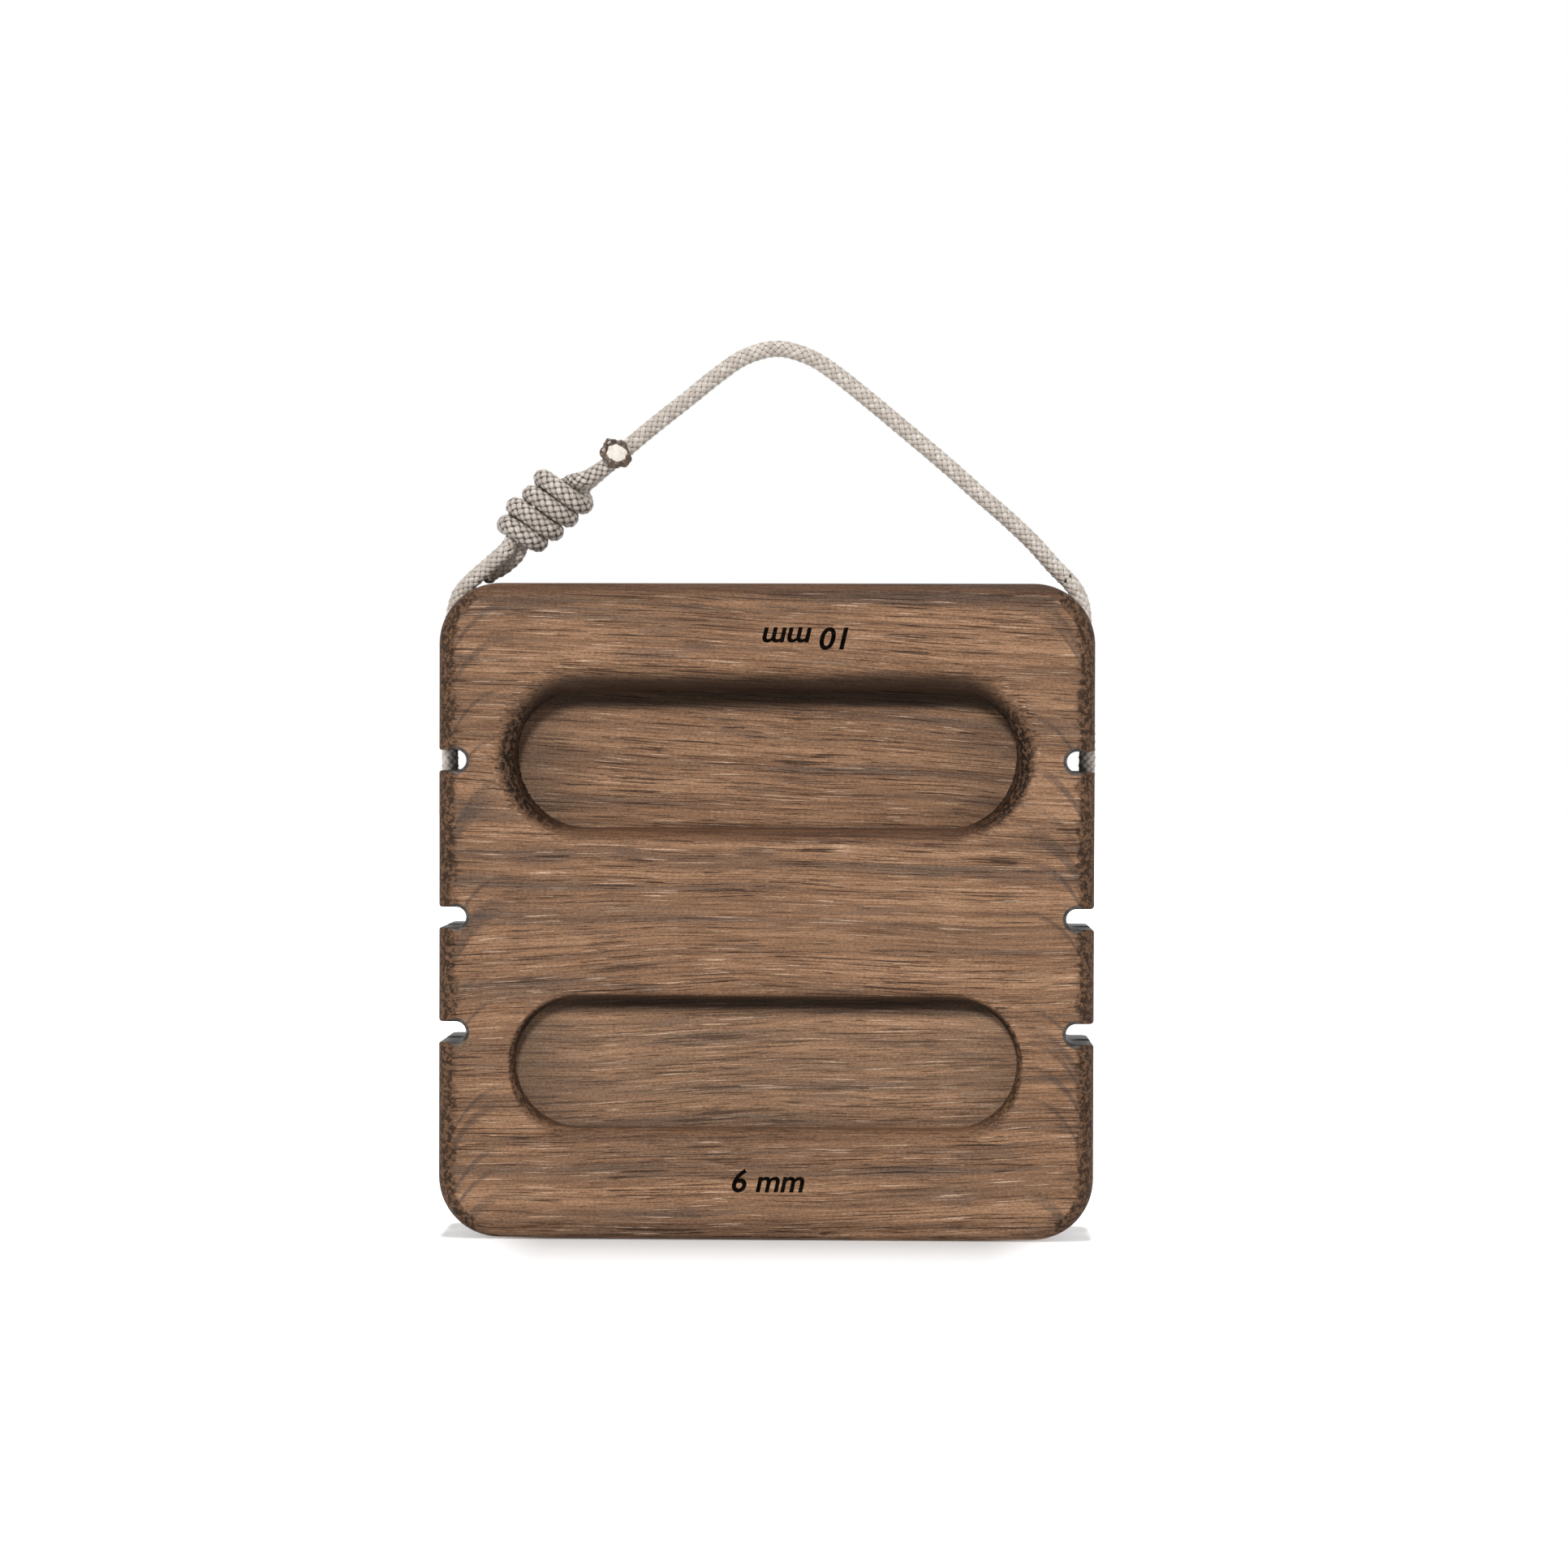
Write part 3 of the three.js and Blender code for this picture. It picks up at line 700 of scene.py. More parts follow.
def wood_material():
    """Brown wood streaked along X: cloudy bands, open pores as dark dashes and mottled end grain, with
    painted shade and shadow in the hollows of the front pockets and along the top and bottom edges."""
    mid_brown = (0.244, 0.133, 0.074)
    light_brown = (0.350, 0.200, 0.115)
    deep_brown = (0.105, 0.054, 0.031)
    grey_brown = (0.135, 0.089, 0.062)
    smudge_grey = (0.075, 0.055, 0.046)
    ring_grey = (0.055, 0.042, 0.036)
    pore_brown = (0.036, 0.018, 0.011)
    pale_fibre = (0.60, 0.42, 0.29)
    edge_dark = (0.06, 0.03, 0.019)
    edge_red = (0.135, 0.066, 0.034)
    painted_rim_shade = (0.035, 0.019, 0.012)
    end_dark = (0.026, 0.014, 0.008)
    end_light = (0.135, 0.072, 0.040)
    painted_shade_black = (0.010, 0.0052, 0.003)
    painted_floor_end_shade = (0.085, 0.055, 0.038)
    low_floor_pale = (0.55, 0.37, 0.24)

    material, tree, shader = new_material("dark_wood")
    place = add_node(tree, "ShaderNodeTexCoord").outputs
    along, depth, height = add_node(tree, "ShaderNodeSeparateXYZ", {0: place["Object"]}).outputs
    facing = add_node(tree, "ShaderNodeSeparateXYZ", {0: place["Normal"]}).outputs
    sideways = calculate(tree, "ABSOLUTE", facing[0])
    upwards = calculate(tree, "ABSOLUTE", facing[2])
    aside = calculate(tree, "ABSOLUTE", along)
    off_middle = calculate(tree, "ABSOLUTE", calculate(tree, "SUBTRACT", height, board_middle_z))

    def streaks(vector, scale, detail, roughness, location=(0, 0, 0)):
        return grainy(tree, scaled(tree, vector, scale, location), 1, detail, roughness)

    # The grain climbs to the right above the middle and falls below it, and sways a little. Near
    # the sides the growth rings curl downwards.
    slope = add_node(
        tree,
        "ShaderNodeMapRange",
        {"Value": height, "From Min": 0.03, "From Max": 0.11, "To Min": -0.035, "To Max": 0.045},
        interpolation_type="SMOOTHSTEP",
    ).outputs["Result"]
    sway = streaks(place["Object"], (9, 20, 22), 2, 0.5)
    lifted = calculate(tree, "ADD", height, product(tree, slope, along))
    lifted = calculate(tree, "ADD", lifted, product(tree, sway, 0.009))
    near_side = calculate(tree, "POWER", calculate(tree, "DIVIDE", aside, board_high.x), 11)
    curled = calculate(tree, "ADD", lifted, product(tree, near_side, 0.022))
    grain = add_node(tree, "ShaderNodeCombineXYZ", {0: along, 1: depth, 2: lifted}).outputs[0]
    ring_place = add_node(tree, "ShaderNodeCombineXYZ", {0: along, 1: depth, 2: curled}).outputs[0]

    clouds = streaks(grain, (11, 60, 50), 3, 0.6)
    bands = streaks(grain, (6, 200, 270), 3, 0.6)
    fibres = streaks(grain, (55, 1900, 3000), 4, 0.75)
    hairs = streaks(grain, (75, 2200, 2900), 2, 0.5, (0.3, 0.1, 0.7))
    stipple = streaks(grain, (1300, 3000, 2600), 3, 0.7)
    pores = streaks(grain, (48, 1200, 2700), 3, 0.62)
    short_pores = streaks(grain, (130, 1700, 3900), 2, 0.5, (0.7, 0.5, 0.3))
    pore_zone = streaks(grain, (9, 110, 210), 2, 0.5)
    smudges = streaks(grain, (42, 200, 330), 2, 0.45, (0.5, 0.2, 0.1))
    rings = streaks(ring_place, (2.5, 50, 95), 1, 0.4, (0.2, 0.4, 0.3))
    spots = streaks(place["Object"], (900, 1300, 900), 3, 0.7)
    ragged = calculate(tree, "SUBTRACT", streaks(place["Object"], (260, 700, 620), 3, 0.65), 0.5)

    tone = calculate(tree, "ADD", product(tree, clouds, 0.35), product(tree, bands, 0.65))
    colour = mixed(tree, between(tree, tone, 0.36, 0.52), grey_brown, mid_brown)
    colour = mixed(tree, between(tree, tone, 0.48, 0.62), colour, light_brown)
    colour = mixed(tree, product(tree, between(tree, fibres, 0.54, 0.38), 0.72), colour, deep_brown)
    colour = mixed(tree, product(tree, between(tree, hairs, 0.61, 0.71), 0.70), colour, pale_fibre)
    colour = mixed(tree, product(tree, between(tree, smudges, 0.60, 0.70), 0.38), colour, smudge_grey)
    off_ring = calculate(tree, "ABSOLUTE", calculate(tree, "SUBTRACT", rings, 0.5))
    ring_seen = between(tree, aside, 0.055, 0.069)
    ring_share = product(tree, between(tree, off_ring, 0.042, 0.012), ring_seen, 0.55)
    colour = mixed(tree, ring_share, colour, ring_grey)
    pore_share = product(tree, between(tree, pores, 0.574, 0.596), between(tree, pore_zone, 0.38, 0.48))
    pore_share = calculate(tree, "MAXIMUM", pore_share, between(tree, short_pores, 0.645, 0.685))
    colour = mixed(tree, product(tree, pore_share, 0.92), colour, pore_brown)

    # Surfaces that face up or down are darker and redder, less so towards the foot, which is left
    # lighter as painted bounce light from the floor. The wood beside the top and bottom edges gets
    # painted shade, except right at the bottom, which is left lighter in the same way.
    rows = between(tree, off_middle, 0.066, 0.062)
    low_row = product(tree, rows, between(tree, height, 0.062, 0.055))
    edge_strength = calculate(tree, "SUBTRACT", 0.8, product(tree, low_row, 0.4))
    # Near the foot the darker edge colour is left off, as painted bounce light from the floor.
    above_foot = between(tree, height, 0, 0.016)
    edge_share = product(tree, between(tree, upwards, 0.12, 0.7), above_foot, edge_strength)
    lip_facing = product(tree, between(tree, facing[2], 0.02, 0.22), between(tree, facing[2], 0.999, 0.96))
    edge_share = calculate(tree, "MAXIMUM", edge_share, product(tree, lip_facing, low_row, 0.5))
    edge_colour = mixed(tree, between(tree, bands, 0.35, 0.6), edge_dark, edge_red)
    colour = mixed(tree, edge_share, colour, edge_colour)
    # Painted shade along the top and bottom roundings, left off right at the bottom as painted bounce light.
    rim_shade_share = product(tree, between(tree, off_middle, 0.0700, 0.0716), between(tree, height, 0.0012, 0.0034))
    colour = mixed(tree, product(tree, rim_shade_share, 0.34), colour, painted_rim_shade)

    # End grain shows on the sides with a ragged border, and on the end walls of the pockets.
    turned_away = calculate(tree, "ADD", sideways, product(tree, ragged, 0.3))
    ragged_aside = calculate(tree, "ADD", aside, product(tree, ragged, 0.006))
    outer = between(tree, aside, 0.0655, 0.0670)
    inner = calculate(tree, "SUBTRACT", 1.0, outer)
    side_share = product(tree, between(tree, turned_away, 0.05, 0.20), between(tree, sideways, 0, 0.03))
    side_share = calculate(tree, "MAXIMUM", side_share, between(tree, ragged_aside, 0.0703, 0.0718))
    wall_share = product(tree, between(tree, turned_away, 0.12, 0.62), inner)
    end_share = calculate(tree, "MAXIMUM", product(tree, side_share, outer), wall_share)
    end_colour = mixed(tree, between(tree, spots, 0.46, 0.57), end_dark, end_light)
    colour = mixed(tree, product(tree, end_share, 0.92), colour, end_colour)

    # The front pockets get painted shade under their upper lips, a painted shadow on the strip of floor
    # below these and, in the upper pocket, mottled painted shade on the end walls.
    low_half = between(tree, height, 0.060, 0.058)
    front_half = product(tree, between(tree, depth, -0.0149, -0.0141), between(tree, depth, 0, -0.004))
    hollow = product(tree, front_half, rows, inner)
    under_lip = product(tree, between(tree, facing[2], -0.03, -0.58), hollow, 0.85)
    high_strip = product(tree, between(tree, height, 0.1197, 0.1227), between(tree, depth, -0.0085, -0.0065))
    low_strip = product(tree, between(tree, height, 0.0501, 0.0530), between(tree, depth, -0.0115, -0.0095))
    low_strip = product(tree, low_strip, low_half)
    strips = product(tree, calculate(tree, "MAXIMUM", high_strip, low_strip), hollow, 0.85)
    mottled = calculate(tree, "ADD", product(tree, between(tree, spots, 0.57, 0.45), 0.6), 0.36)
    high_walls = product(tree, between(tree, turned_away, 0.04, 0.60), between(tree, height, 0.062, 0.072))
    high_walls = product(tree, high_walls, hollow, mottled)
    painted_pocket_shade = calculate(tree, "MAXIMUM", calculate(tree, "MAXIMUM", under_lip, strips), high_walls)
    # The painted shade and shadow in the pockets, nearly black.
    colour = mixed(tree, painted_pocket_shade, colour, painted_shade_black)

    # Their floors get painted shade towards the ends, most on the left, and the lower one's is paler.
    floor_end = product(tree, between(tree, aside, 0.034, 0.058), between(tree, sideways, 0.25, 0.05))
    leftwards = calculate(tree, "SUBTRACT", 0.5, product(tree, along, 2.5))
    # Painted shade on the floor ends, stronger on the left.
    colour = mixed(tree, product(tree, floor_end, hollow, leftwards), colour, painted_floor_end_shade)
    low_floor = product(tree, low_half, between(tree, depth, -0.0105, -0.0093), inner)
    unshaded = calculate(tree, "SUBTRACT", 1.0, painted_pocket_shade)
    colour = mixed(tree, product(tree, low_floor, unshaded, 0.08), colour, low_floor_pale)

    speck = add_node(
        tree,
        "ShaderNodeMapRange",
        {"Value": stipple, "From Min": 0.25, "From Max": 0.75, "To Min": 0.52, "To Max": 1.48},
    ).outputs["Result"]
    colour = mixed(tree, 1.0, colour, speck, "MULTIPLY")
    relief = calculate(tree, "SUBTRACT", product(tree, fibres, 0.35), pore_share)
    relief = calculate(tree, "ADD", relief, product(tree, stipple, 0.2))
    paint(tree, shader, colour, relief, 0.55, 0.00025)
    rough = add_node(tree, "ShaderNodeMapRange", {"Value": fibres, "To Min": 0.72, "To Max": 0.52})
    tree.links.new(rough.outputs["Result"], shader.inputs["Roughness"])
    shader.inputs["Specular IOR Level"].default_value = 0.12
    return material


def darkened_material(name, low, high, roughness, shine):
    """Darkened wood: burnt into the engraved letters, and dark on the walls of the notches, channels and
    bore.
    """
    material, tree, shader = new_material(name)
    place = add_node(tree, "ShaderNodeTexCoord").outputs["Object"]
    cloud = grainy(tree, scaled(tree, place, (600, 250, 900)), 1, 4, 0.65)
    paint(tree, shader, mixed(tree, between(tree, cloud, 0.35, 0.65), low, high), cloud, 0.5, 0.0002)
    shader.inputs["Roughness"].default_value = roughness
    shader.inputs["Specular IOR Level"].default_value = shine
    return material


dark_wood = wood_material()
notch_wood = darkened_material("notch_wood", (0.020, 0.015, 0.013), (0.085, 0.068, 0.058), 0.45, 0.3)
burnt_wood = darkened_material("burnt_wood", (0.002, 0.0015, 0.001), (0.008, 0.006, 0.005), 0.9, 0)


def make_active(piece):
    deselect_all()
    piece.select_set(True)
    bpy.context.view_layer.objects.active = piece


def pick(piece, kind, wanted):
    """Goes into edit mode with those vertices, edges or faces picked whose corners are wanted."""
    make_active(piece)
    bpy.ops.object.mode_set(mode="EDIT")
    bpy.ops.mesh.select_mode(type=kind)
    bpy.ops.mesh.select_all(action="DESELECT")
    bpy.ops.object.mode_set(mode="OBJECT")
    mesh = piece.data
    elements = {"VERT": mesh.vertices, "EDGE": mesh.edges, "FACE": mesh.polygons}[kind]
    for element in elements:
        corners = [element] if kind == "VERT" else [mesh.vertices[i] for i in element.vertices]
        element.select = wanted([corner.co for corner in corners])
    bpy.ops.object.mode_set(mode="EDIT")


def settle(piece):
    """Puts a piece's place, turn and size into its mesh."""
    make_active(piece)
    bpy.ops.object.transform_apply(location=True, rotation=True, scale=True)


def draw_out(piece, wanted, shift):
    """Extrudes the faces whose corners are all wanted."""
    pick(piece, "FACE", lambda corners: all(wanted(corner) for corner in corners))
    bpy.ops.mesh.extrude_region_move(TRANSFORM_OT_translate={"value": shift})


def widen(piece, wanted, scale, centre, shift=(0, 0, 0)):
    pick(piece, "VERT", lambda corners: wanted(corners[0]))
    bpy.ops.transform.resize(value=scale, center_override=centre)
    bpy.ops.transform.translate(value=shift)


def cut_away(cutter, cut_material, overlaps_itself=False):
    """Cuts one shape out of the board. The new walls take the cutter's material."""
    make_active(board)
    cutter.data.materials.append(cut_material)
    cut = board.modifiers.new("cut", "BOOLEAN")
    cut.operation = "DIFFERENCE"
    cut.solver = "EXACT"
    cut.use_self = overlaps_itself
    cut.material_mode = "TRANSFER"
    cut.object = cutter
    bpy.ops.object.modifier_apply(modifier=cut.name)
    bpy.data.objects.remove(cutter)


deselect_all()
bpy.ops.mesh.primitive_cube_add(size=1, location=(0, 0, board_middle_z), scale=board_high - board_low)
board = bpy.context.object
board.name = "wooden_board"
board.data.materials.append(dark_wood)
settle(board)
pick(board, "EDGE", lambda ends: abs(ends[0].y - ends[1].y) > tiny)
bpy.ops.mesh.bevel(offset=corner_radius, segments=24)
pick(board, "EDGE", lambda ends: abs(ends[0].y - ends[1].y) < tiny)
bpy.ops.mesh.bevel(offset=edge_round, segments=10)

# The pockets are long and round-ended, each with a rolled lip. The upper front one's lip is widest
# at the top, and the pocket is undercut behind it.
pocket_length = 0.1152
pocket_row_rise = 0.0349
pocket_floor_round = 0.0003
upper_front_drop = 0.0003
pocket_end_sides = 96
lip_steps = 9


def cut_pocket(
    row_z, height, depth, lip_top, lip_side, lip_bottom, lip_depth, incut=0, from_back=False
):
    straight = (pocket_length - height) / 2
    throat = board_low.y + lip_depth
    floor_y = board_low.y + depth
    deselect_all()
    bpy.ops.mesh.primitive_cylinder_add(
        vertices=pocket_end_sides,
        radius=height / 2,
        depth=depth - lip_depth,
        location=(0, (throat + floor_y) / 2, row_z),
        rotation=(quarter_turn, math.pi / pocket_end_sides, 0),
    )
    cutter = bpy.context.object
    settle(cutter)
    for side in (1, -1):
        pick(cutter, "VERT", lambda corners: corners[0].x * side > 0)
        bpy.ops.transform.translate(value=(side * straight, 0, 0))
    lean = (1, 1, (height + incut) / height)
    widen(cutter, lambda corner: corner.y > floor_y - tiny, lean, (0, floor_y, row_z - height / 2))
    pick(cutter, "EDGE", lambda ends: all(end.y > floor_y - tiny for end in ends))
    bpy.ops.mesh.bevel(offset=pocket_floor_round, segments=4)
    y, reach, half, middle = throat, height / 2, height / 2, row_z
    for step in range(1, lip_steps + 1):
        angle = quarter_turn * step / lip_steps
        share = 1 - math.cos(angle)
        new_y = board_low.y + lip_depth * (1 - math.sin(angle))
        new_reach = height / 2 + lip_side * share
        new_half = (height + (lip_top + lip_bottom) * share) / 2
        new_middle = row_z + (lip_top - lip_bottom) * share / 2
        draw_out(cutter, lambda corner: corner.y < y + tiny, (0, new_y - y, 0))
        for side in (1, -1):
            widen(
                cutter,
                lambda corner: corner.y < new_y + tiny and corner.x * side > 0,
                (new_reach / reach, 1, new_half / half),
                (side * straight, new_y, middle),
                (0, 0, new_middle - middle),
            )
        y, reach, half, middle = new_y, new_reach, new_half, new_middle
    draw_out(cutter, lambda corner: corner.y < y + tiny, (0, -overrun, 0))
    if from_back:
        pick(cutter, "VERT", lambda corners: True)
        bpy.ops.transform.rotate(value=math.pi, orient_axis="Z", center_override=(0, 0, row_z))
    cut_away(cutter, dark_wood)


upper_row = board_middle_z + pocket_row_rise
lower_row = board_middle_z - pocket_row_rise
cut_pocket(
    upper_row - upper_front_drop,
    height=0.0316,
    depth=0.010,
    lip_top=0.0084,
    lip_side=0.0062,
    lip_bottom=0.0042,
    lip_depth=0.0046,
    incut=0.0025,
)
cut_pocket(
    lower_row,
    height=0.0296,
    depth=0.006,
    lip_top=0.0028,
    lip_side=0.0014,
    lip_bottom=0.0036,
    lip_depth=0.0024,
)
back_height = 0.026
back_lip = 0.004
cut_pocket(upper_row, back_height, 0.015, back_lip, back_lip, back_lip, back_lip, from_back=True)
cut_pocket(lower_row, back_height, 0.020, back_lip, back_lip, back_lip, back_lip, from_back=True)

# Three notches in each side run from the front to the back. Their walls are dark and polished, and
# their rims are eased.
notch_height = 0.0047
notch_depth = 0.0065
notch_rim_ease = 0.00085
mouth_ease = 0.0008
notch_steps = 4
notch_middles = [board_middle_z + rise for rise in (0.0344, -0.0015, -0.0277)]


def cut_notch(side, middle_z):
    half = notch_height / 2
    edge_x = board_high.x
    centre_x = edge_x - notch_depth + half
    rim_y = board_high.y - notch_rim_ease
    deselect_all()
    bpy.ops.mesh.primitive_cube_add(
        size=1,
        location=(edge_x - (notch_depth + mouth_ease) / 2, 0, middle_z),
        scale=(notch_depth - mouth_ease, 2 * rim_y, notch_height),
    )
    cutter = bpy.context.object
    settle(cutter)
    inner_x = edge_x - notch_depth
    pick(cutter, "EDGE", lambda ends: all(end.x < inner_x + tiny for end in ends)
         and abs(ends[0].y - ends[1].y) > tiny)
    bpy.ops.mesh.bevel(offset=half * 0.999, segments=14)
    x, wide = edge_x - mouth_ease, half
    for step in range(1, notch_steps + 1):
        angle = quarter_turn * step / notch_steps
        new_x = edge_x - mouth_ease * (1 - math.sin(angle))
        new_wide = half + mouth_ease * (1 - math.cos(angle))
        draw_out(cutter, lambda corner: corner.x > x - tiny, (new_x - x, 0, 0))
        widen(cutter, lambda corner: corner.x > new_x - tiny, (1, 1, new_wide / wide), (new_x, 0, middle_z))
        x, wide = new_x, new_wide
    draw_out(cutter, lambda corner: corner.x > x - tiny, (overrun, 0, 0))
    for face in (1, -1):
        y, wide = rim_y, half
        for step in range(1, notch_steps + 1):
            angle = quarter_turn * step / notch_steps
            new_y = rim_y + notch_rim_ease * math.sin(angle)
            new_wide = half + notch_rim_ease * (1 - math.cos(angle))
            draw_out(cutter, lambda corner: corner.y * face > y - tiny, (0, face * (new_y - y), 0))
            for inner in (True, False):
                widen(
                    cutter,
                    lambda corner: corner.y * face > new_y - tiny and (corner.x < centre_x + tiny) == inner,
                    (new_wide / wide if inner else 1, 1, new_wide / wide),
                    (centre_x, face * new_y, middle_z),
                )
            y, wide = new_y, new_wide
        draw_out(cutter, lambda corner: corner.y * face > y - tiny, (0, face * overrun, 0))
    if side < 0:
        pick(cutter, "VERT", lambda corners: True)
        bpy.ops.transform.rotate(value=math.pi, orient_axis="Z", center_override=(0, 0, middle_z))
    cut_away(cutter, notch_wood)


for middle_z in notch_middles:
    for side in (1, -1):
        cut_notch(side, middle_z)

# The channel runs round both sides and out of all four corners, and the bore joins the two sides.
channel_radius = 0.0025
channel_sides = 24


def swept_cutter(line, section, first_side):
    """A closed body from a section carried along a line without twisting."""
    line = np.array(line, float)
    side, over = untwisted_sides(line, first_side)
    out, across = (np.array(values) for values in zip(*section))
    ring = line[:, None, :] + side[:, None, :] * out[:, None] + over[:, None, :] * across[:, None]
    count, sides = len(line), len(section)
    faces = [
        [place * sides + step, place * sides + (step + 1) % sides,
         (place + 1) * sides + (step + 1) % sides, (place + 1) * sides + step]
        for place in range(count - 1) for step in range(sides)
    ]
    faces.append(list(range(sides - 1, -1, -1)))
    faces.append(list(range((count - 1) * sides, count * sides)))
    mesh = bpy.data.meshes.new("cutter")
    mesh.from_pydata(ring.reshape(-1, 3), [], faces)
    cutter = bpy.data.objects.new("cutter", mesh)
    bpy.context.scene.collection.objects.link(cutter)
    return cutter


def channel_line():
    upper = arc(channel_x - exit_bend_radius, exit_bend_z, exit_bend_radius, eighth_turn, 0, 12)
    beyond = Vector(upper[0]) + exit_direction * corner_radius
    half = [tuple(beyond), *upper]
    return half + [(x, y, 2 * board_middle_z - z) for x, y, z in reversed(half)]


half_circle = [quarter_turn * (2 * step / 12 - 1) for step in range(13)]
open_section = [(channel_radius * math.cos(a), channel_radius * math.sin(a)) for a in half_circle]
open_section += [(-channel_radius - overrun, channel_radius), (-channel_radius - overrun, -channel_radius)]
round_section = [
    (channel_radius * math.cos(a), channel_radius * math.sin(a))
    for a in (2 * math.pi * step / channel_sides for step in range(channel_sides))
]
right_channel = channel_line()
left_channel = [(-x, y, z) for x, y, z in right_channel]
cut_away(swept_cutter(right_channel, open_section, (-1, 0, 0)), notch_wood)
cut_away(swept_cutter(left_channel, open_section, (1, 0, 0)), notch_wood)
bore_half = right_half[:-bend_places]
bore_line = [(-x, y, z) for x, y, z in reversed(bore_half)] + bore_half
cut_away(swept_cutter(bore_line, round_section, (0, 1, 0)), notch_wood)

# The edge depths are engraved and burnt in, the upper one upside down because it is read with the
# board turned over.
engraving_depth = 0.0003
engraving_slant = 0.22
stroke_widening = 0.00014
digit_share = 0.729


def engrave(words, centre_x, centre_z, digit_height, width_share, turn):
    deselect_all()
    bpy.ops.object.text_add()
    text = bpy.context.object
    text.data.body = words
    text.data.size = digit_height / digit_share
    text.data.shear = engraving_slant
    text.data.extrude = engraving_depth
    text.data.align_x = "CENTER"
    text.data.align_y = "CENTER"
    text.data.offset = stroke_widening
    bpy.ops.object.convert(target="MESH")
    cutter = bpy.context.object
    cutter.scale = (width_share, 1, 1)
    settle(cutter)
    cutter.rotation_euler = (quarter_turn, turn, 0)
    cutter.location = (centre_x, board_low.y, centre_z)
    settle(cutter)
    cut_away(cutter, burnt_wood, True)


engrave(
    "10 mm", centre_x=0.0097, centre_z=0.1376, digit_height=0.0051, width_share=1.05, turn=math.pi
)
engrave("6 mm", centre_x=0.0004, centre_z=0.0133, digit_height=0.0053, width_share=1, turn=0)

make_active(board)
bpy.ops.object.shade_smooth_by_angle(angle=math.radians(30))
weighted = board.modifiers.new("weighted", "WEIGHTED_NORMAL")
weighted.keep_sharp = True
bpy.ops.object.modifier_apply(modifier=weighted.name)
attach(board, "root")
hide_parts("board")


# Floor and light
# A plain white floor and a white room, lit softly from the front, from above and from both sides.
# The floor is brighter to the camera than to the object, and white far away. Beside the board it
# glows to the camera, a painted light that thins its shadow there, and to the object it glows
# everywhere, a painted fill light from below.
floor_size = 8
floor_to_camera = (0.8, 0.8, 0.8)
floor_to_object = (0.35, 0.35, 0.35)
beside_glow = 0.55
bounce_glow = 0.45
room_light = 0.13
side_light = 0.45
side_level = 1.1
right_surplus = 0.35
deselect_all()
bpy.ops.mesh.primitive_plane_add(size=floor_size, location=(0, 0, 0))
floor = bpy.context.object
floor.name = "floor"
floor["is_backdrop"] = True
floor_paint, tree, shader = new_material("white_floor")
shader.inputs["Roughness"].default_value = 0.9
shader.inputs["Specular IOR Level"].default_value = 0


def looked_at(tree):
    """1 where the camera sees the room, also in a reflection or through glass."""
    path = add_node(tree, "ShaderNodeLightPath").outputs
    mirrored = calculate(tree, "MAXIMUM", path["Is Glossy Ray"], path["Is Transmission Ray"])
    return calculate(tree, "MAXIMUM", path["Is Camera Ray"], mirrored)


seen = looked_at(tree)
tree.links.new(mixed(tree, seen, floor_to_object, floor_to_camera), shader.inputs["Base Color"])
place = add_node(tree, "ShaderNodeTexCoord").outputs["Object"]
away = add_node(tree, "ShaderNodeVectorMath", {0: place}, operation="LENGTH").outputs["Value"]
aside = calculate(tree, "ABSOLUTE", add_node(tree, "ShaderNodeSeparateXYZ", {0: place}).outputs[0])
# Painted light on the floor beside the board, where it thins the shadow.
beside = product(tree, between(tree, aside, 0.048, 0.072), beside_glow)
glow_share = calculate(tree, "MAXIMUM", between(tree, away, 0.12, 1.0), beside)
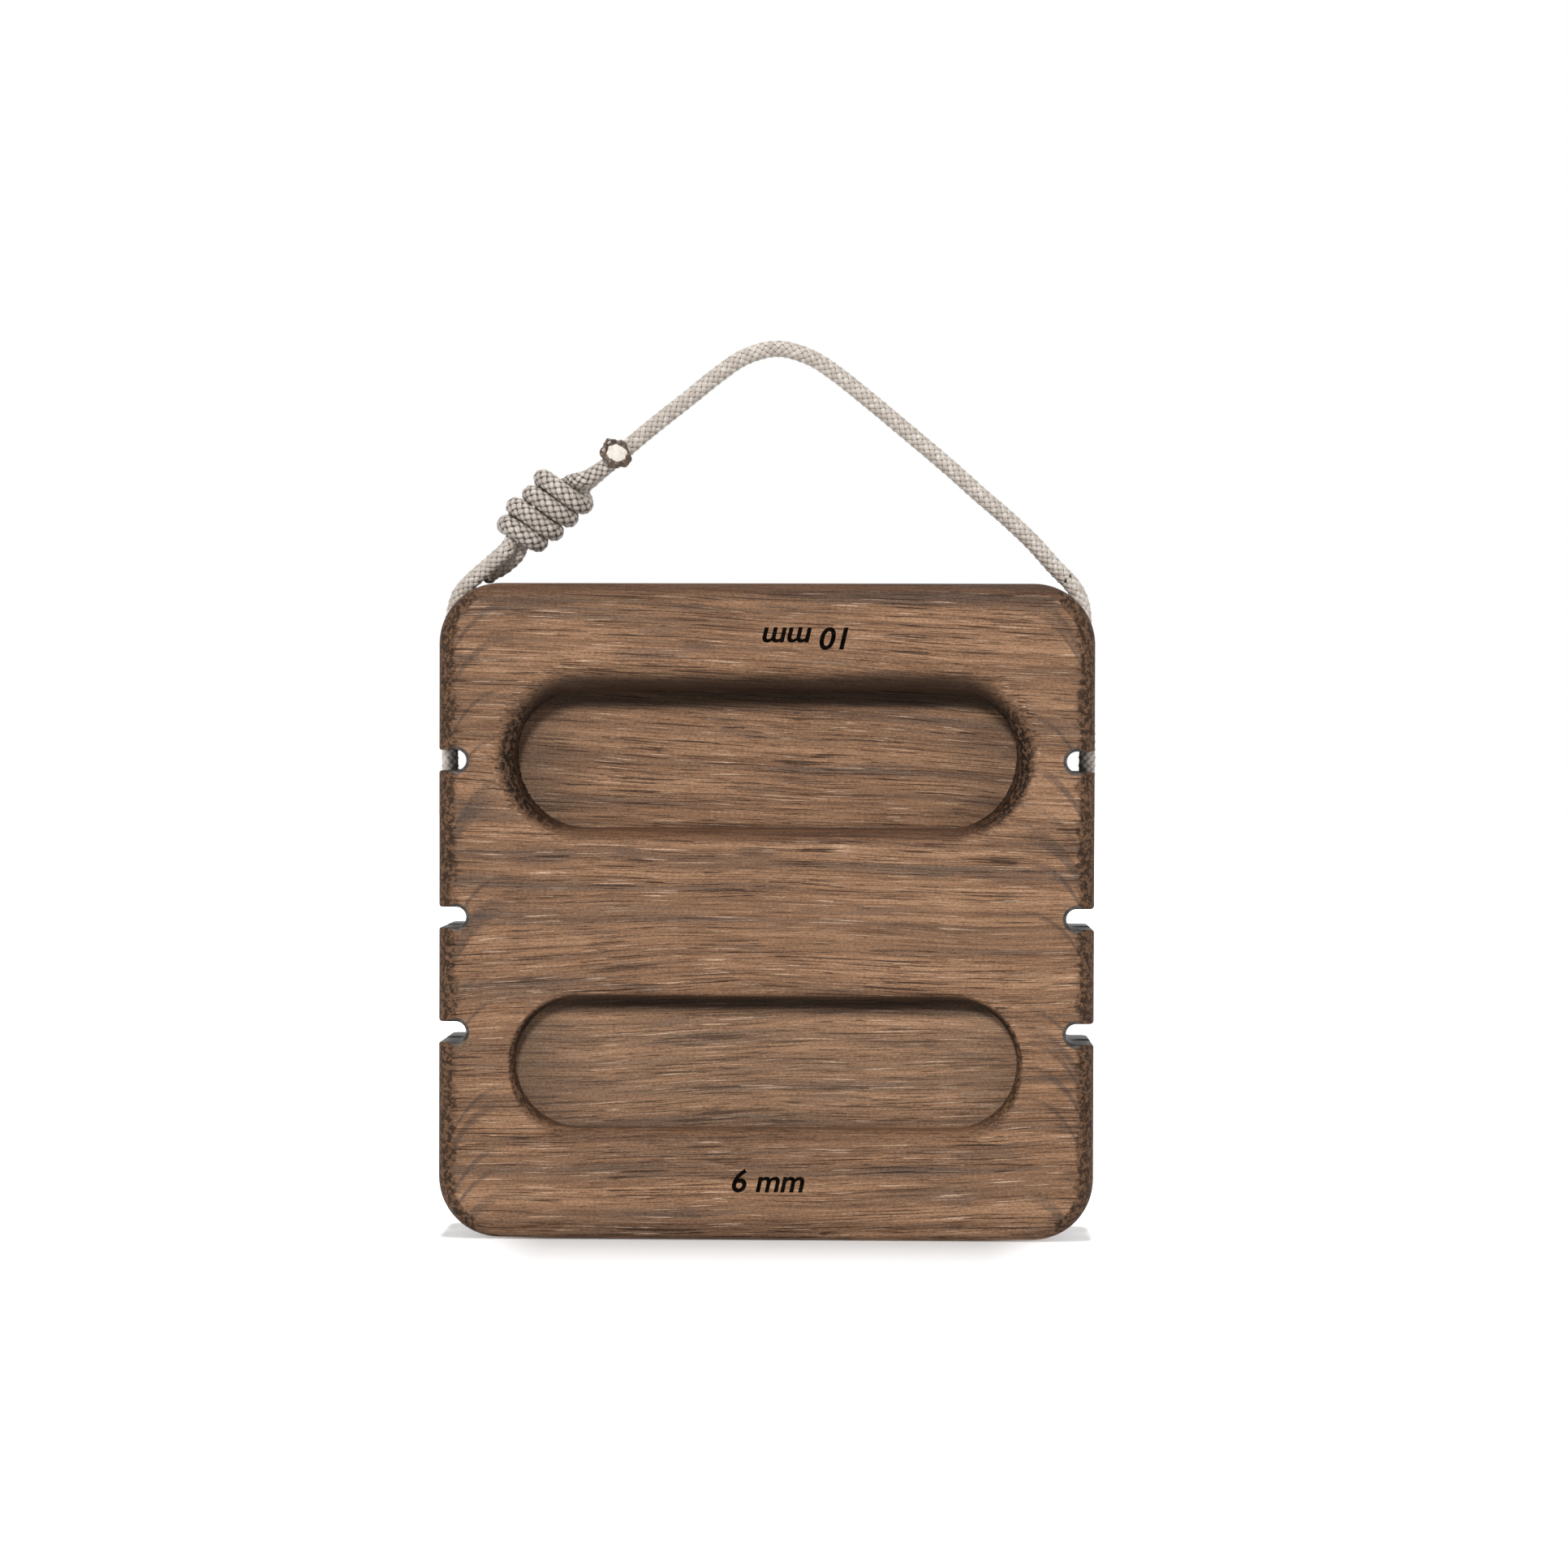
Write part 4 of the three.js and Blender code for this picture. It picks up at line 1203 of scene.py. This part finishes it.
# The floor's glow to the object is a painted fill light from below.
bounce = product(tree, calculate(tree, "SUBTRACT", 1.0, seen), bounce_glow)
glow_strength = calculate(tree, "ADD", product(tree, glow_share, seen), bounce)
glow = add_node(tree, "ShaderNodeEmission", {"Strength": glow_strength})
added = add_node(tree, "ShaderNodeAddShader", {0: shader.outputs[0], 1: glow.outputs[0]})
tree.links.new(added.outputs[0], tree.nodes["Material Output"].inputs["Surface"])
floor.data.materials.append(floor_paint)

world = bpy.data.worlds.new("white_room")
world.use_nodes = True
bpy.context.scene.world = world
tree = world.node_tree
seen = looked_at(tree)
direction = add_node(tree, "ShaderNodeTexCoord").outputs["Generated"]
rightwards = add_node(tree, "ShaderNodeSeparateXYZ", {0: direction}).outputs[0]
from_side = calculate(tree, "POWER", calculate(tree, "ABSOLUTE", rightwards), 2)
lopsided = calculate(tree, "ADD", product(tree, rightwards, right_surplus), side_level)
room = calculate(tree, "ADD", product(tree, from_side, lopsided, side_light), room_light)
background = tree.nodes["Background"]
background.inputs["Color"].default_value = (1, 1, 1, 1)
tree.links.new(calculate(tree, "MAXIMUM", seen, room), background.inputs["Strength"])


def area_light(name, location, aim, width, length, power, receivers):
    """A soft light that reaches only the pieces it is given."""
    light = bpy.data.lights.new(name, "AREA")
    light.shape = "RECTANGLE"
    light.size = width
    light.size_y = length
    light.energy = power
    lamp = bpy.data.objects.new(name, light)
    bpy.context.scene.collection.objects.link(lamp)
    lamp.location = location
    lamp.rotation_mode = "QUATERNION"
    lamp.rotation_quaternion = (Vector(aim) - Vector(location)).to_track_quat("-Z", "Y")
    lit = bpy.data.collections.new("lit_by_" + name)
    for piece in receivers:
        lit.objects.link(piece)
    lamp.light_linking.receiver_collection = lit


area_light(
    "front_light",
    location=(-0.24, -1.73, 1.02),
    aim=(0, 0, 0.1),
    width=0.35,
    length=0.35,
    power=29.5,
    receivers=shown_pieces(),
)
area_light(
    "top_light",
    location=(0, 0.03, 0.95),
    aim=(0, 0.03, 0),
    width=0.5,
    length=0.5,
    power=3,
    receivers=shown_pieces(),
)
area_light(
    "floor_light",
    location=(0, 0.09, 3),
    aim=(0, 0.09, 0),
    width=0.5,
    length=1.7,
    power=114,
    receivers=[floor],
)

bpy.context.scene.view_settings.view_transform = "Standard"
